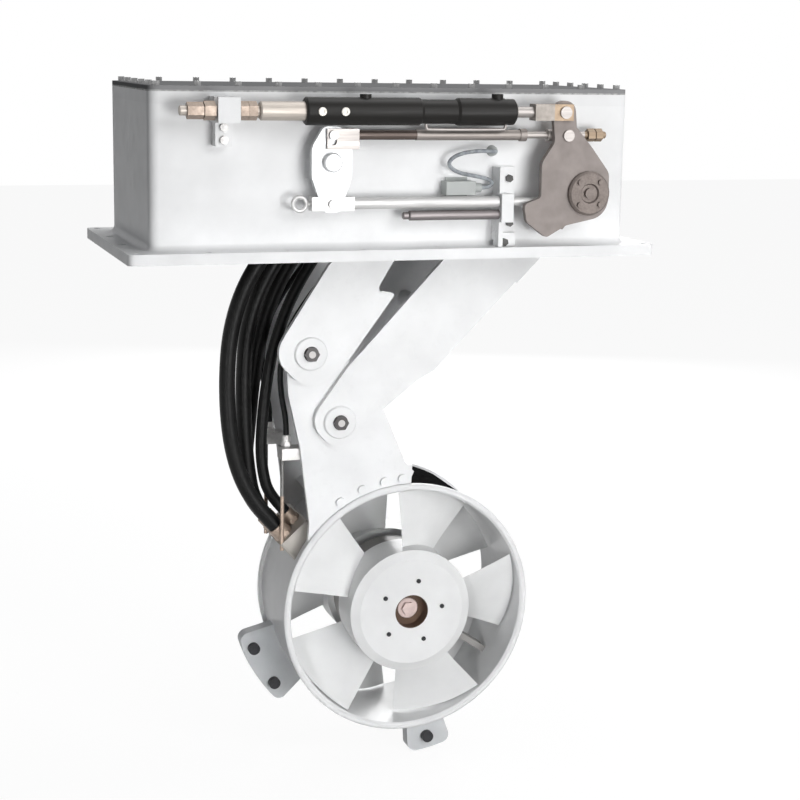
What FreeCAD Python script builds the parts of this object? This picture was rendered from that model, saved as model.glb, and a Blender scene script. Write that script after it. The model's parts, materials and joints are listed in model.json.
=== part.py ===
import FreeCAD, Part
import Sketcher
import math
import os

# A hydraulic swing-down bow thruster, shown deployed. Millimetres.
# Frame: origin at the middle of the flange's underside, +X along the housing towards the
# main shaft, -Y towards the side with the cylinder and crank, +Z up.

doc = FreeCAD.newDocument("bow_thruster")
sheet = doc.addObject("Spreadsheet::Sheet", "dims")

SIZES = [
    ("box_length", 740, "housing, along X"),
    ("box_width", 320, "housing, along Y"),
    ("box_height", 242, "flange underside to the top of the rim"),
    ("wall", 8, "housing wall"),
    ("corner_radius", 14, "upright corners of the housing"),
    ("flange_reach", 37, "flange beyond the walls"),
    ("flange_thick", 16, "bottom flange"),
    ("flange_fillet", 9, "between wall and flange"),
    ("flange_corner", 10, "corners of the flange"),
    ("flange_hole_radius", 5.5, "clearance for M10"),
    ("flange_hole_inset", 15, "hole centre from the flange edge"),
    ("flange_hole_pitch", 116, "between holes along a long side"),
    ("rim_reach", 24, "rim inside the walls"),
    ("rim_depth", 18, "height of the rim"),
    ("gasket_thick", 2, "lid gasket"),
    ("lid_thick", 6, "lid"),
    ("lid_hole_inset", 14, "lid bolt from the edge"),
    ("lid_bolt_radius", 3, "M6 shank"),
    ("lid_head_radius", 5.2, "hexagon across corners / 2"),
    ("lid_head_height", 6.5, "lid bolt head with washer"),
    ("shaft_x", 286.2, "main shaft axis"),
    ("shaft_z", 97, "main shaft axis"),
    ("shaft_radius", 18, "main shaft"),
    ("running_gap", 0.06, "radial clearance of shafts and pins"),
    ("side_gap", 0.5, "clearance between moving faces"),
    ("bush_radius", 28, "outside of the wall bushes"),
    ("bush_flange_radius", 38, "flange of the wall bushes"),
    ("bush_flange_thick", 6, "flange of the wall bushes"),
    ("lower_pivot_x", -64.9, "pivot between arm and platform"),
    ("lower_pivot_z", -261.7, "pivot between arm and platform"),
    ("link_offset_x", -47.4, "upper link pivots from the arm pivots"),
    ("link_offset_z", 109, "upper link pivots from the arm pivots"),
    ("link_shaft_radius", 14, "fixed shaft of the upper link"),
    ("pivot_pin_radius", 12, "pins at the lower ends"),
    ("pivot_washer_radius", 26, "round washers on the pins"),
    ("pivot_washer_thick", 4, "round washers on the pins"),
    ("platform_half_gap", 74, "half the space between the platform plates"),
    ("platform_thick", 8, "platform plate"),
    ("arm_thick", 10, "arm and link plates"),
    ("arm_end_radius", 36, "arm end at the platform"),
    ("arm_half_width", 57, "arm"),
    ("link_end_radius", 45, "upper link end at the platform"),
    ("link_root_radius", 30, "upper link end at its shaft"),
    ("hub_tube_radius", 34, "tube round the main shaft"),
    ("link_tube_radius", 24, "tube round the link shaft"),
    ("cross_tube_radius", 13, "cross tubes"),
    ("tunnel_drop_x", 117.6, "tunnel centre from the lower pivot"),
    ("tunnel_drop_z", -311, "tunnel centre from the lower pivot"),
    ("tunnel_bore_radius", 193, "inside of the tunnel"),
    ("tunnel_wall", 5, "tunnel shell"),
    ("tunnel_lip_height", 6, "front and rear lip above the shell"),
    ("tunnel_length", 180, "tunnel, along Y"),
    ("tunnel_lip_width", 8, "front and rear lip"),
    ("saddle_height", 34, "saddle above the tunnel's shell"),
    ("platform_bolt_radius", 4.5, "bolts from the platform into the saddle"),
    ("pod_radius", 92, "motor pod"),
    ("pod_half_length", 25, "motor pod"),
    ("vane_thick", 10, "vanes that carry the pod"),
    ("hub_radius", 99.5, "propeller hub"),
    ("hub_bevel", 14, "bevel of the hub's face"),
    ("hub_depth", 56, "propeller hub along Y"),
    ("hub_proud", 18, "propeller hub beyond the lip"),
    ("blade_tip_gap", 2.5, "between blade tip and tunnel"),
    ("blade_thick", 9, "blade at its root"),
    ("propeller_shaft_radius", 17, "propeller shaft"),
    ("mech_stand_off", 27, "middle plane of the lock linkage from the wall"),
    ("crank_thick", 10, "crank plate"),
    ("crank_offset", 17, "middle plane of the crank plate from that of the linkage"),
    ("crank_pin_dx", -43.7, "cylinder pin from the main shaft"),
    ("crank_pin_dz", 120, "cylinder pin from the main shaft"),
    ("swivel_pin_dx", -35, "swivel pin from the main shaft"),
    ("swivel_pin_dz", 85.7, "swivel pin from the main shaft"),
    ("crank_pin_radius", 6, "both crank pins"),
    ("crank_hub_radius", 33, "cap on the crank"),
    ("cam_base_radius", 44, "lock cam, least radius"),
    ("cam_rise_per_degree", 0.33, "lock cam"),
    ("cam_thick", 10, "lock cam"),
    ("barrel_radius", 20, "cylinder tube"),
    ("barrel_bore_radius", 15, "cylinder tube"),
    ("barrel_start", -154.8, "left end of the tube"),
    ("barrel_end", 165.7, "right end of the tube"),
    ("piston_rod_radius", 8, "piston rod"),
    ("stud_radius", 7, "threaded stud at the rear"),
    ("stud_end", -335, "left end of the stud"),
    ("anchor_x", -267, "middle of the anchor bracket"),
    ("anchor_half", 16, "half the anchor bracket, along X"),
    ("anchor_gap", 1.5, "between bracket and nuts"),
    ("stud_rise", 10, "free rise of the stud in its slot"),
    ("link_rod_radius", 5.2, "spring link rod"),
    ("sleeve_radius", 7.85, "spring link sleeve"),
    ("sleeve_start", 18, "left end of the sleeve"),
    ("sleeve_end", 191, "right end of the sleeve"),
    ("lever_x", -110, "lever pivot"),
    ("lever_z", 143.6, "lever pivot"),
    ("lever_thick", 10, "lever"),
    ("lever_pivot_radius", 9, "lever pivot stud"),
    ("lever_pin_radius", 4.5, "pins in the lever's ends"),
    ("plunger_z", 84, "lock plunger axis"),
    ("plunger_rod_radius", 8.75, "plunger rod"),
    ("plunger_tip_radius", 6, "plunger tip"),
    ("bracket_x", 167, "middle of the lock bracket"),
    ("bracket_half", 16, "half the lock bracket, along X"),
    ("cartridge_z", 65, "spring cartridge axis"),
    ("cartridge_radius", 7.35, "spring cartridge"),
    ("thick_hose_radius", 12.5, "main oil hoses"),
    ("return_hose_radius", 9, "return hose"),
    ("thin_hose_radius", 4.5, "drain hoses"),
]
for row, (alias, number, meaning) in enumerate(SIZES, start=1):
    sheet.set(f"A{row}", meaning)
    sheet.set(f"B{row}", str(number))
    sheet.setAlias(f"B{row}", alias)
doc.recompute()


class Size:
    """A length with the expression that it comes from, so that it can be bound."""

    def __init__(self, number, text):
        self.number = float(number)
        self.text = text

    def __float__(self):
        return self.number

    def __add__(self, other):
        other = as_size(other)
        return Size(self.number + other.number, f"({self.text} + {other.text})")

    def __sub__(self, other):
        other = as_size(other)
        return Size(self.number - other.number, f"({self.text} - {other.text})")

    def __mul__(self, other):
        other = as_size(other)
        return Size(self.number * other.number, f"({self.text} * {other.text})")

    def __truediv__(self, other):
        other = as_size(other)
        return Size(self.number / other.number, f"({self.text} / {other.text})")

    def __neg__(self):
        return Size(-self.number, f"(0 - {self.text})")

    __radd__ = __add__
    __rmul__ = __mul__

    def __rsub__(self, other):
        return as_size(other) - self


def as_size(value):
    return value if isinstance(value, Size) else Size(value, repr(float(value)))


class Dims:
    """The sheet's cells as attributes."""


dims = Dims()
for alias, number, meaning in SIZES:
    setattr(dims, alias, Size(sheet.get(alias), f"dims.{alias}"))


def root_of(value):
    return Size(math.sqrt(value.number), f"sqrt({value.text})")


def bind(item, path, value):
    item.setExpression(path, as_size(value).text)


def place(item, x=0, y=0, z=0):
    for name, value in (("x", x), ("y", y), ("z", z)):
        bind(item, f".Placement.Base.{name}", value)


def turn_in_plane(item, rise, run):
    """Turn a body about Y so that its own +X points along (run, rise) in the XZ plane."""
    item.Placement.Rotation = FreeCAD.Rotation(FreeCAD.Vector(0, 1, 0), -1)
    item.setExpression(".Placement.Rotation.Angle", f"-atan2({rise.text}; {run.text})")


# ---------------------------------------------------------------- derived places

arm_run = dims.shaft_x - dims.lower_pivot_x
arm_rise = dims.shaft_z - dims.lower_pivot_z
arm_length = root_of(arm_run * arm_run + arm_rise * arm_rise)
upper_pivot_x = dims.lower_pivot_x + dims.link_offset_x
upper_pivot_z = dims.lower_pivot_z + dims.link_offset_z
link_shaft_x = dims.shaft_x + dims.link_offset_x
link_shaft_z = dims.shaft_z + dims.link_offset_z
tunnel_x = dims.lower_pivot_x + dims.tunnel_drop_x
tunnel_z = dims.lower_pivot_z + dims.tunnel_drop_z
half_width = dims.box_width / 2
front_wall = -half_width
plate_outer = dims.platform_half_gap + dims.platform_thick
arm_inner = plate_outer + dims.side_gap
arm_outer = arm_inner + dims.arm_thick
mech_y = front_wall - dims.mech_stand_off
crank_y = mech_y - dims.crank_offset
crank_front = crank_y - dims.crank_thick / 2
crank_back = crank_y + dims.crank_thick / 2
pin_x = dims.shaft_x + dims.crank_pin_dx
pin_z = dims.shaft_z + dims.crank_pin_dz
swivel_x = dims.shaft_x + dims.swivel_pin_dx
swivel_z = dims.shaft_z + dims.swivel_pin_dz
lever_top = swivel_z - dims.lever_z
lever_bottom = dims.lever_z - dims.plunger_z
tunnel_shell_radius = dims.tunnel_bore_radius + dims.tunnel_wall
tunnel_lip_radius = tunnel_shell_radius + dims.tunnel_lip_height
saddle_radius = tunnel_shell_radius + dims.saddle_height
bolt_ring = tunnel_lip_radius + 9
anchor_holes = (pin_z - 24, pin_z - 42)

CAM_FROM = 178
CAM_TO = 240
PORT_ANGLE = 132
PORT_X = -138
PORT_Z = -452
SADDLE_FROM = 88
SADDLE_TO = 128
BLADE_PITCH = 72
PLATFORM_BOLTS = (92.9, 100.9, 111.2, 121.9)

nodes = []


def node(item, label):
    """Take an object as a finished sub-part with its own label."""
    item.Label = label
    nodes.append(item)
    return item


# ---------------------------------------------------------------- ways of building

def origin_plane(body, role):
    return next(item for item in body.Origin.OriginFeatures if item.Role == role)


def sketch_on(body, role, offset=0):
    sketch = body.newObject("Sketcher::SketchObject", "sketch")
    sketch.AttachmentSupport = [(origin_plane(body, role), "")]
    sketch.MapMode = "FlatFace"
    bind(sketch, ".AttachmentOffset.Base.z", offset)
    return sketch


def drive(sketch, kind, geometry, position, value):
    """Constrain one coordinate of a point, measured from the sketch's origin."""
    value = as_size(value)
    index = sketch.addConstraint(
        Sketcher.Constraint(kind, -1, 1, geometry, position, value.number)
    )
    sketch.setExpression(f"Constraints[{index}]", value.text)


def draw_polygon(sketch, points):
    count = len(points)
    spots = [FreeCAD.Vector(float(a), float(b), 0) for a, b in points]
    first = None
    for index in range(count):
        line = Part.LineSegment(spots[index], spots[(index + 1) % count])
        number = sketch.addGeometry(line, False)
        first = number if first is None else first
    for index in range(count):
        following = first + (index + 1) % count
        sketch.addConstraint(Sketcher.Constraint("Coincident", first + index, 2, following, 1))
    for index, (a, b) in enumerate(points):
        drive(sketch, "DistanceX", first + index, 1, a)
        drive(sketch, "DistanceY", first + index, 1, b)


def draw_circle(sketch, a, b, radius):
    centre = FreeCAD.Vector(float(a), float(b), 0)
    circle = Part.Circle(centre, FreeCAD.Vector(0, 0, 1), float(radius))
    number = sketch.addGeometry(circle, False)
    drive(sketch, "DistanceX", number, 3, a)
    drive(sketch, "DistanceY", number, 3, b)
    radius = as_size(radius)
    index = sketch.addConstraint(Sketcher.Constraint("Radius", number, radius.number))
    sketch.setExpression(f"Constraints[{index}]", radius.text)


def pad(body, sketch, length):
    feature = body.newObject("PartDesign::Pad", "pad")
    feature.Profile = sketch
    bind(feature, "Length", length)
    doc.recompute()
    return feature


def pocket_through(body, sketch):
    feature = body.newObject("PartDesign::Pocket", "pocket")
    feature.Profile = sketch
    feature.Type = 1
    feature.Midplane = True
    doc.recompute()
    return feature


def fillet(body, edges, radius):
    feature = body.newObject("PartDesign::Fillet", "fillet")
    feature.Base = edges
    bind(feature, "Radius", radius)
    doc.recompute()
    return feature


def edges_where(feature, test):
    """Names of the edges whose two ends both pass a test."""
    found = []
    for number, edge in enumerate(feature.Shape.Edges, start=1):
        ends = [vertex.Point for vertex in edge.Vertexes]
        if len(ends) == 2 and all(test(point) for point in ends):
            found.append(f"Edge{number}")
    return found


def flat_plate(label, back, thickness, corners, holes=()):
    """A plate across Y. Corners are (x, z) or (x, z, radius); back is its +Y face."""
    body = doc.addObject("PartDesign::Body", label)
    sketch = sketch_on(body, "XZ_Plane", -as_size(back))
    draw_polygon(sketch, [corner[:2] for corner in corners])
    for x, z, radius in holes:
        draw_circle(sketch, x, z, radius)
    feature = pad(body, sketch, thickness)
    for corner in corners:
        if len(corner) == 3:
            spot = (float(corner[0]), float(corner[1]))
            edges = edges_where(
                feature, lambda p: math.hypot(p.x - spot[0], p.z - spot[1]) < 0.01
            )
            feature = fillet(body, (feature, edges), corner[2])
    return body


def revolved(label, axis, profile):
    """A turned piece. The profile is (along, radius); the body lies on its own axis."""
    role = {"X": "XY_Plane", "Y": "YZ_Plane"}[axis]
    body = doc.addObject("PartDesign::Body", label)
    sketch = sketch_on(body, role)
    draw_polygon(sketch, profile)
    feature = body.newObject("PartDesign::Revolution", "revolution")
    feature.Profile = sketch
    feature.ReferenceAxis = (sketch, ["H_Axis"])
    feature.Angle = 360
    doc.recompute()
    return body


def tube_profile(start, end, outer, inner):
    return [(start, inner), (end, inner), (end, outer), (start, outer)]


def bar_profile(start, end, radius, chamfer=0.8):
    """A round bar with chamfered ends."""
    return [
        (start, 0),
        (end, 0),
        (end, radius - chamfer),
        (end - chamfer, radius),
        (start + chamfer, radius),
        (start, radius - chamfer),
    ]


def block(name, size, corner):
    item = doc.addObject("Part::Box", name)
    for path, value in zip(("Length", "Width", "Height"), size):
        bind(item, path, value)
    place(item, *corner)
    return item


TURNS = {
    "X": FreeCAD.Rotation(FreeCAD.Vector(0, 1, 0), 90),
    "Y": FreeCAD.Rotation(FreeCAD.Vector(1, 0, 0), -90),
    "Z": FreeCAD.Rotation(),
}


def cylinder(name, axis, radius, length, start):
    item = doc.addObject("Part::Cylinder", name)
    item.Placement.Rotation = TURNS[axis]
    bind(item, "Radius", radius)
    bind(item, "Height", length)
    place(item, *start)
    return item


def hexagon(name, axis, radius, length, start):
    item = doc.addObject("Part::Prism", name)
    item.Polygon = 6
    item.Placement.Rotation = TURNS[axis]
    bind(item, "Circumradius", radius)
    bind(item, "Height", length)
    place(item, *start)
    return item


def fused(name, *items):
    item = doc.addObject("Part::MultiFuse", name)
    item.Shapes = list(items)
    item.Refine = True
    return item


def cut(name, base, *tools):
    item = doc.addObject("Part::Cut", name)
    item.Base = base
    item.Tool = tools[0] if len(tools) == 1 else fused(f"{name}_tools", *tools)
    item.Refine = True
    return item


def group(name, *items):
    item = doc.addObject("Part::Compound", name)
    item.Links = list(items)
    return item


def shaped(label, shape):
    item = doc.addObject("Part::Feature", label)
    item.Shape = shape
    return node(item, label)


def spot(x, y, z):
    return FreeCAD.Vector(float(x), float(y), float(z))


def polar(angle, radius):
    """A point about the tunnel's axis; the angle is counted from +X towards +Z."""
    turn = math.radians(angle)
    x = float(tunnel_x) + float(radius) * math.cos(turn)
    return x, float(tunnel_z) + float(radius) * math.sin(turn)


def screw(base, direction, head_radius, head_height, shank_radius, shank_length, sides=6):
    """A bolt as one solid: its head stands on base and its shank goes the other way."""
    direction = FreeCAD.Vector(*direction)
    shank = Part.makeCylinder(shank_radius, shank_length, base, -direction)
    if sides == 0:
        head = Part.makeCylinder(head_radius, head_height, base, direction)
    else:
        side = direction.cross(FreeCAD.Vector(0.3, 0.5, 0.8)).normalize() * head_radius
        turn = FreeCAD.Rotation(direction, 360 / sides)
        ring = [base + side]
        for _ in range(sides):
            side = turn.multVec(side)
            ring.append(base + side)
        ring[-1] = ring[0]
        head = Part.Face(Part.makePolygon(ring)).extrude(direction * head_height)
    return head.fuse(shank).removeSplitter()


# ---------------------------------------------------------------- housing and lid

def build_housing():
    body = doc.addObject("PartDesign::Body", "housing")
    half_x = dims.box_length / 2
    flange_x = half_x + dims.flange_reach
    flange_y = half_width + dims.flange_reach
    sketch = sketch_on(body, "XY_Plane")
    draw_polygon(sketch, rectangle(flange_x, flange_y))
    feature = pad(body, sketch, dims.flange_thick)
    corners = edges_where(feature, lambda p: abs(p.x) > float(half_x) and abs(p.y) > float(half_width))
    upright = [name for name in corners if is_upright(feature, name)]
    fillet(body, (feature, upright), dims.flange_corner)

    sketch = sketch_on(body, "XY_Plane")
    draw_polygon(sketch, rectangle(half_x, half_width))
    feature = pad(body, sketch, dims.box_height)
    corners = edges_where(feature, on_walls(half_x, half_width))
    upright = [name for name in corners if is_upright(feature, name)]
    feature = fillet(body, (feature, upright), dims.corner_radius)
    top = float(dims.flange_thick)
    near = on_walls(half_x, half_width, reach=float(dims.corner_radius))
    root = edges_where(feature, lambda p: abs(p.z - top) < 0.01 and near(p))
    fillet(body, (feature, root), dims.flange_fillet)

    sketch = sketch_on(body, "XY_Plane")
    draw_polygon(sketch, rectangle(half_x - dims.wall, half_width - dims.wall))
    well = body.newObject("PartDesign::Pocket", "well")
    well.Profile = sketch
    well.Reversed = True
    bind(well, "Length", dims.box_height - dims.rim_depth)
    doc.recompute()
    inner_x = half_x - dims.wall - dims.rim_reach
    inner_y = half_width - dims.wall - dims.rim_reach
    sketch = sketch_on(body, "XY_Plane")
    draw_polygon(sketch, rectangle(inner_x, inner_y))
    pocket_through(body, sketch)

    sketch = sketch_on(body, "XY_Plane")
    for x, y in flange_holes():
        draw_circle(sketch, x, y, dims.flange_hole_radius)
    pocket_through(body, sketch)

    sketch = sketch_on(body, "XZ_Plane")
    draw_circle(sketch, dims.shaft_x, dims.shaft_z, dims.bush_radius)
    pocket_through(body, sketch)
    sketch = sketch_on(body, "XZ_Plane", half_width - dims.wall)
    draw_circle(sketch, link_shaft_x, link_shaft_z, dims.link_shaft_radius + 8)
    boss = pad(body, sketch, 20)
    boss.Reversed = True
    sketch = sketch_on(body, "XZ_Plane", -(half_width - dims.wall))
    draw_circle(sketch, link_shaft_x, link_shaft_z, dims.link_shaft_radius + 8)
    pad(body, sketch, 20)
    sketch = sketch_on(body, "XZ_Plane", half_width - dims.wall)
    draw_circle(sketch, link_shaft_x, link_shaft_z, dims.link_shaft_radius)
    bore = body.newObject("PartDesign::Pocket", "link_shaft_bore")
    bore.Profile = sketch
    bore.Type = 1
    doc.recompute()
    return node(body, "housing")


def rectangle(half_a, half_b):
    return [(-half_a, -half_b), (half_a, -half_b), (half_a, half_b), (-half_a, half_b)]


def is_upright(feature, name):
    edge = feature.Shape.getElement(name)
    first, last = edge.Vertexes[0].Point, edge.Vertexes[1].Point
    return math.hypot(first.x - last.x, first.y - last.y) < 0.01


def on_walls(half_x, half_y, reach=0.0):
    def test(point):
        inside = abs(point.x) < float(half_x) + 0.01 and abs(point.y) < float(half_y) + 0.01
        edge_x = abs(abs(point.x) - float(half_x)) < reach + 0.01
        edge_y = abs(abs(point.y) - float(half_y)) < reach + 0.01
        return inside and edge_x and edge_y
    return test


def flange_holes():
    far_x = dims.box_length / 2 + dims.flange_reach - dims.flange_hole_inset
    far_y = half_width + dims.flange_reach - dims.flange_hole_inset
    spots = [(side * far_x, end * far_y) for side in (-1, 1) for end in (-1, 1)]
    for end in (-1, 1):
        for step in (-2.5, -1.5, -0.5, 0.5, 1.5, 2.5):
            spots.append((step * dims.flange_hole_pitch, end * far_y))
        for step in (-0.5, 0.5):
            spots.append((end * far_x, step * dims.flange_hole_pitch))
    return spots


def lid_spots():
    """Thirteen bolts along each long side and six along each short side."""
    far_x = dims.box_length / 2 - dims.lid_hole_inset
    far_y = half_width - dims.lid_hole_inset
    spots = []
    for end in (-1, 1):
        for step in range(13):
            spots.append((far_x * (step / 6 - 1), end * far_y))
        for step in range(1, 5):
            spots.append((end * far_x, far_y * (step / 2.5 - 1)))
    return spots


def build_lid():
    top = dims.box_height
    for label, thickness, bottom in (
        ("lid_gasket", dims.gasket_thick, top),
        ("housing_lid", dims.lid_thick, top + dims.gasket_thick),
    ):
        body = doc.addObject("PartDesign::Body", label)
        sketch = sketch_on(body, "XY_Plane", bottom)
        draw_polygon(sketch, rectangle(dims.box_length / 2, half_width))
        if label == "lid_gasket":
            inner_x = dims.box_length / 2 - dims.wall - dims.rim_reach
            draw_polygon(sketch, rectangle(inner_x, half_width - dims.wall - dims.rim_reach))
        for x, y in lid_spots():
            draw_circle(sketch, x, y, dims.lid_bolt_radius)
        feature = pad(body, sketch, thickness)
        corners = edges_where(feature, on_walls(dims.box_length / 2, half_width))
        upright = [name for name in corners if is_upright(feature, name)]
        fillet(body, (feature, upright), dims.corner_radius)
        node(body, label)
    seat = float(top + dims.gasket_thick + dims.lid_thick)
    grip = float(dims.gasket_thick + dims.lid_thick)
    bolts = [
        screw(spot(x, y, seat), (0, 0, 1), float(dims.lid_head_radius),
              float(dims.lid_head_height), float(dims.lid_bolt_radius), grip)
        for x, y in lid_spots()
    ]
    shaped("lid_bolts", Part.makeCompound(bolts))


# ---------------------------------------------------------------- main shaft and its bushes

def at_shaft(body):
    place(body, dims.shaft_x, 0, dims.shaft_z)
    return body


def build_shaft():
    bore = dims.shaft_radius + dims.running_gap
    inner = half_width - dims.wall - 5
    seat = half_width
    outer = half_width + dims.bush_flange_thick
    bushes = []
    for label, side in (("front_bush", -1), ("rear_bush", 1)):
        profile = [
            (side * inner, bore),
            (side * outer, bore),
            (side * outer, dims.bush_flange_radius),
            (side * seat, dims.bush_flange_radius),
            (side * seat, dims.bush_radius),
            (side * inner, dims.bush_radius),
        ]
        bushes.append(at_shaft(revolved(label, "Y", profile)))
    node(group("shaft_bushes", *bushes), "shaft_bushes")
    shaft = bar_profile(crank_front, outer + 16, dims.shaft_radius, 1.5)
    node(at_shaft(revolved("main_shaft", "Y", shaft)), "main_shaft")

    cup_start = outer
    cup_end = outer + 30
    cup_bore = dims.shaft_radius + 1
    cup = revolved("union_cup", "Y", [
        (cup_start, cup_bore),
        (cup_end - 8, cup_bore),
        (cup_end - 8, 0),
        (cup_end, 0),
        (cup_end, dims.bush_radius - 4),
        (cup_end - 4, dims.bush_radius),
        (cup_start + 6, dims.bush_radius),
        (cup_start + 6, dims.bush_flange_radius),
        (cup_start, dims.bush_flange_radius),
    ])
    at_shaft(cup)
    bosses = []
    ports = []
    for side in (-1, 1):
        x = dims.shaft_x + side * 13
        y = cup_start + 18
        z = dims.shaft_z + 14
        bosses.append(cylinder("union_boss", "Z", 9.5, 24, (x, y, z)))
        ports.append(cylinder("union_port", "Z", 6.6, 12, (x, y, z + 12)))
    room = cylinder("union_room", "Y", cup_bore, cup_end - 8 - cup_start,
                    (dims.shaft_x, cup_start, dims.shaft_z))
    node(cut("rotary_union", fused("union_body", cup, *bosses), room, *ports), "rotary_union")

    inside = -(half_width - dims.wall) + 1
    shaft = revolved("link_shaft", "Y", [
        (inside, 0),
        (half_width + 7, 0),
        (half_width + 7, 22),
        (half_width + 5, 24),
        (half_width, 24),
        (half_width, dims.link_shaft_radius),
        (inside + 1, dims.link_shaft_radius),
        (inside, dims.link_shaft_radius - 1),
    ])
    place(shaft, link_shaft_x, 0, link_shaft_z)
    node(shaft, "link_shaft")


# ---------------------------------------------------------------- swinging arms

def build_arms():
    end = dims.arm_end_radius
    width = dims.arm_half_width
    far = arm_length + width
    corners = [
        (-end, -end, end * 0.97),
        (60, -end - 1.6),
        (131, -end - 10.6),
        (161, 1 - width),
        (349, 1 - width),
        (352, -width - 2.5),
        (far, -width - 2.5, width * 0.95),
        (far, width, width * 0.95),
        (282, width - 1),
        (68, 0.9 * width),
        (-end, end, end * 0.97),
    ]
    holes = [
        (0, 0, dims.pivot_pin_radius),
        (arm_length, 0, dims.shaft_radius),
    ]
    for label, back in (("arm_front", -arm_inner), ("arm_rear", arm_outer)):
        body = flat_plate(label, back, dims.arm_thick, corners, holes)
        place(body, dims.lower_pivot_x, 0, dims.lower_pivot_z)
        turn_in_plane(body, arm_rise, arm_run)
        node(body, label)
    hub = tube_profile(-arm_inner, arm_inner, dims.hub_tube_radius, dims.shaft_radius)
    hub = at_shaft(revolved("arm_hub_tube", "Y", hub))
    brace = revolved("arm_cross_tube", "Y",
                     tube_profile(-arm_inner, arm_inner, dims.cross_tube_radius, 8))
    along = Size(0.46, "0.46")
    place(brace, dims.lower_pivot_x + along * arm_run, 0, dims.lower_pivot_z + along * arm_rise)
    node(group("arm_tubes", hub, brace), "arm_tubes")

    body = doc.addObject("PartDesign::Body", "arm_oil_block")
    sketch = sketch_on(body, "XZ_Plane", -arm_inner)
    start = arm_length - dims.hub_tube_radius - 70
    draw_polygon(sketch, [(start, 0), (start + 62, 0), (start + 62, 44), (start, 44)])
    pad(body, sketch, arm_inner * 2)
    place(body, dims.lower_pivot_x, 0, dims.lower_pivot_z)
    turn_in_plane(body, arm_rise, arm_run)
    node(body, "arm_oil_block")


def build_upper_link():
    end = dims.link_end_radius
    root = dims.link_root_radius
    far = arm_length + root
    corners = [
        (-end, -end, end * 0.95),
        (26, -end - 6),
        (40, -end - 6, 8),
        (159, -34, 4),
        (138, -9, 7),
        (192, 4, 30),
        (far, -root, root * 0.95),
        (far, root, root * 0.95),
        (330, 46),
        (190, 67),
        (117, 75, 30),
        (0, 51),
        (-end, 40, 38),
    ]
    holes = [
        (0, 0, dims.pivot_pin_radius),
        (arm_length, 0, dims.link_shaft_radius + dims.running_gap),
    ]
    for label, back in (("link_front", -arm_inner), ("link_rear", arm_outer)):
        body = flat_plate(label, back, dims.arm_thick, corners, holes)
        place(body, upper_pivot_x, 0, upper_pivot_z)
        turn_in_plane(body, arm_rise, arm_run)
        node(body, label)
    bore = dims.link_shaft_radius + dims.running_gap
    hub = revolved("link_hub_tube", "Y",
                   tube_profile(-arm_inner, arm_inner, dims.link_tube_radius, bore))
    place(hub, link_shaft_x, 0, link_shaft_z)
    brace = revolved("link_cross_tube", "Y",
                     tube_profile(-arm_inner, arm_inner, dims.cross_tube_radius, 8))
    along = Size(0.55, "0.55")
    place(brace, upper_pivot_x + along * arm_run - 20, 0,
          upper_pivot_z + along * arm_rise + 20)
    node(group("link_tubes", hub, brace), "link_tubes")


def build_pivot(label, x, z):
    """A pin through both plates of an arm, with a washer and a bolt at each end."""
    radius = dims.pivot_pin_radius
    pin = revolved(f"{label}_shank", "Y", bar_profile(-arm_outer, arm_outer, radius, 0.8))
    place(pin, x, 0, z)
    pieces = [pin]
    for side in (-1, 1):
        face = side * arm_outer
        outside = face + side * dims.pivot_washer_thick
        washer = revolved(f"{label}_washer", "Y", [
            (face, 5),
            (outside, 5),
            (outside, dims.pivot_washer_radius - 2),
            (face + side * 2, dims.pivot_washer_radius),
            (face, dims.pivot_washer_radius),
        ])
        place(washer, x, 0, z)
        pieces.append(washer)
        start = outside if side > 0 else outside - 6
        pieces.append(hexagon(f"{label}_head", "Y", 12, 6, (x, start, z)))
    node(group(f"{label}_pin", *pieces), f"{label}_pin")


# ---------------------------------------------------------------- platform and tunnel

def build_platform():
    bottom_x = dims.tunnel_drop_x
    bottom_z = dims.tunnel_drop_z
    corners = [
        (dims.link_offset_x - 38, dims.link_offset_z + 38, 36),
        (dims.link_offset_x + 38, dims.link_offset_z + 38, 36),
        (44, 40, 30),
        (74, 14, 6),
        (110, -71, 10),
        (126, -88),
        (bottom_x - 6, bottom_z + 190),
        (bottom_x - 165, bottom_z + 120),
        (-45, -162),
        (-60, -42),
        (-80, 46, 40),
    ]
    gap = dims.running_gap
    holes = [
        (0, 0, dims.pivot_pin_radius + gap),
        (dims.link_offset_x, dims.link_offset_z, dims.pivot_pin_radius + 0.3),
    ]
    for label, back in (("platform_front", -dims.platform_half_gap), ("platform_rear", plate_outer)):
        body = flat_plate(f"{label}_blank", back, dims.platform_thick, corners, holes)
        place(body, dims.lower_pivot_x, 0, dims.lower_pivot_z)
        shell = cylinder(f"{label}_shell", "Y", tunnel_shell_radius, dims.tunnel_length,
                         (tunnel_x, -dims.tunnel_length / 2, tunnel_z))
        start = back - dims.platform_thick
        holes_for_bolts = [
            cylinder("bolt_hole", "Y", dims.platform_bolt_radius, dims.platform_thick,
                     (polar(angle, bolt_ring)[0], start, polar(angle, bolt_ring)[1]))
            for angle in PLATFORM_BOLTS
        ]
        node(cut(label, body, shell, *holes_for_bolts), label)
    spans = (
        ("lower_pivot_tube", dims.lower_pivot_x, dims.lower_pivot_z, gap),
        ("upper_pivot_tube", upper_pivot_x, upper_pivot_z, as_size(0.3)),
    )
    tubes = []
    for label, x, z, clearance in spans:
        profile = tube_profile(-dims.platform_half_gap, dims.platform_half_gap, 20,
                               dims.pivot_pin_radius + clearance)
        tube = revolved(label, "Y", profile)
        place(tube, x, 0, z)
        tubes.append(tube)
    node(group("platform_tubes", *tubes), "platform_tubes")
    build_saddle()


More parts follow.
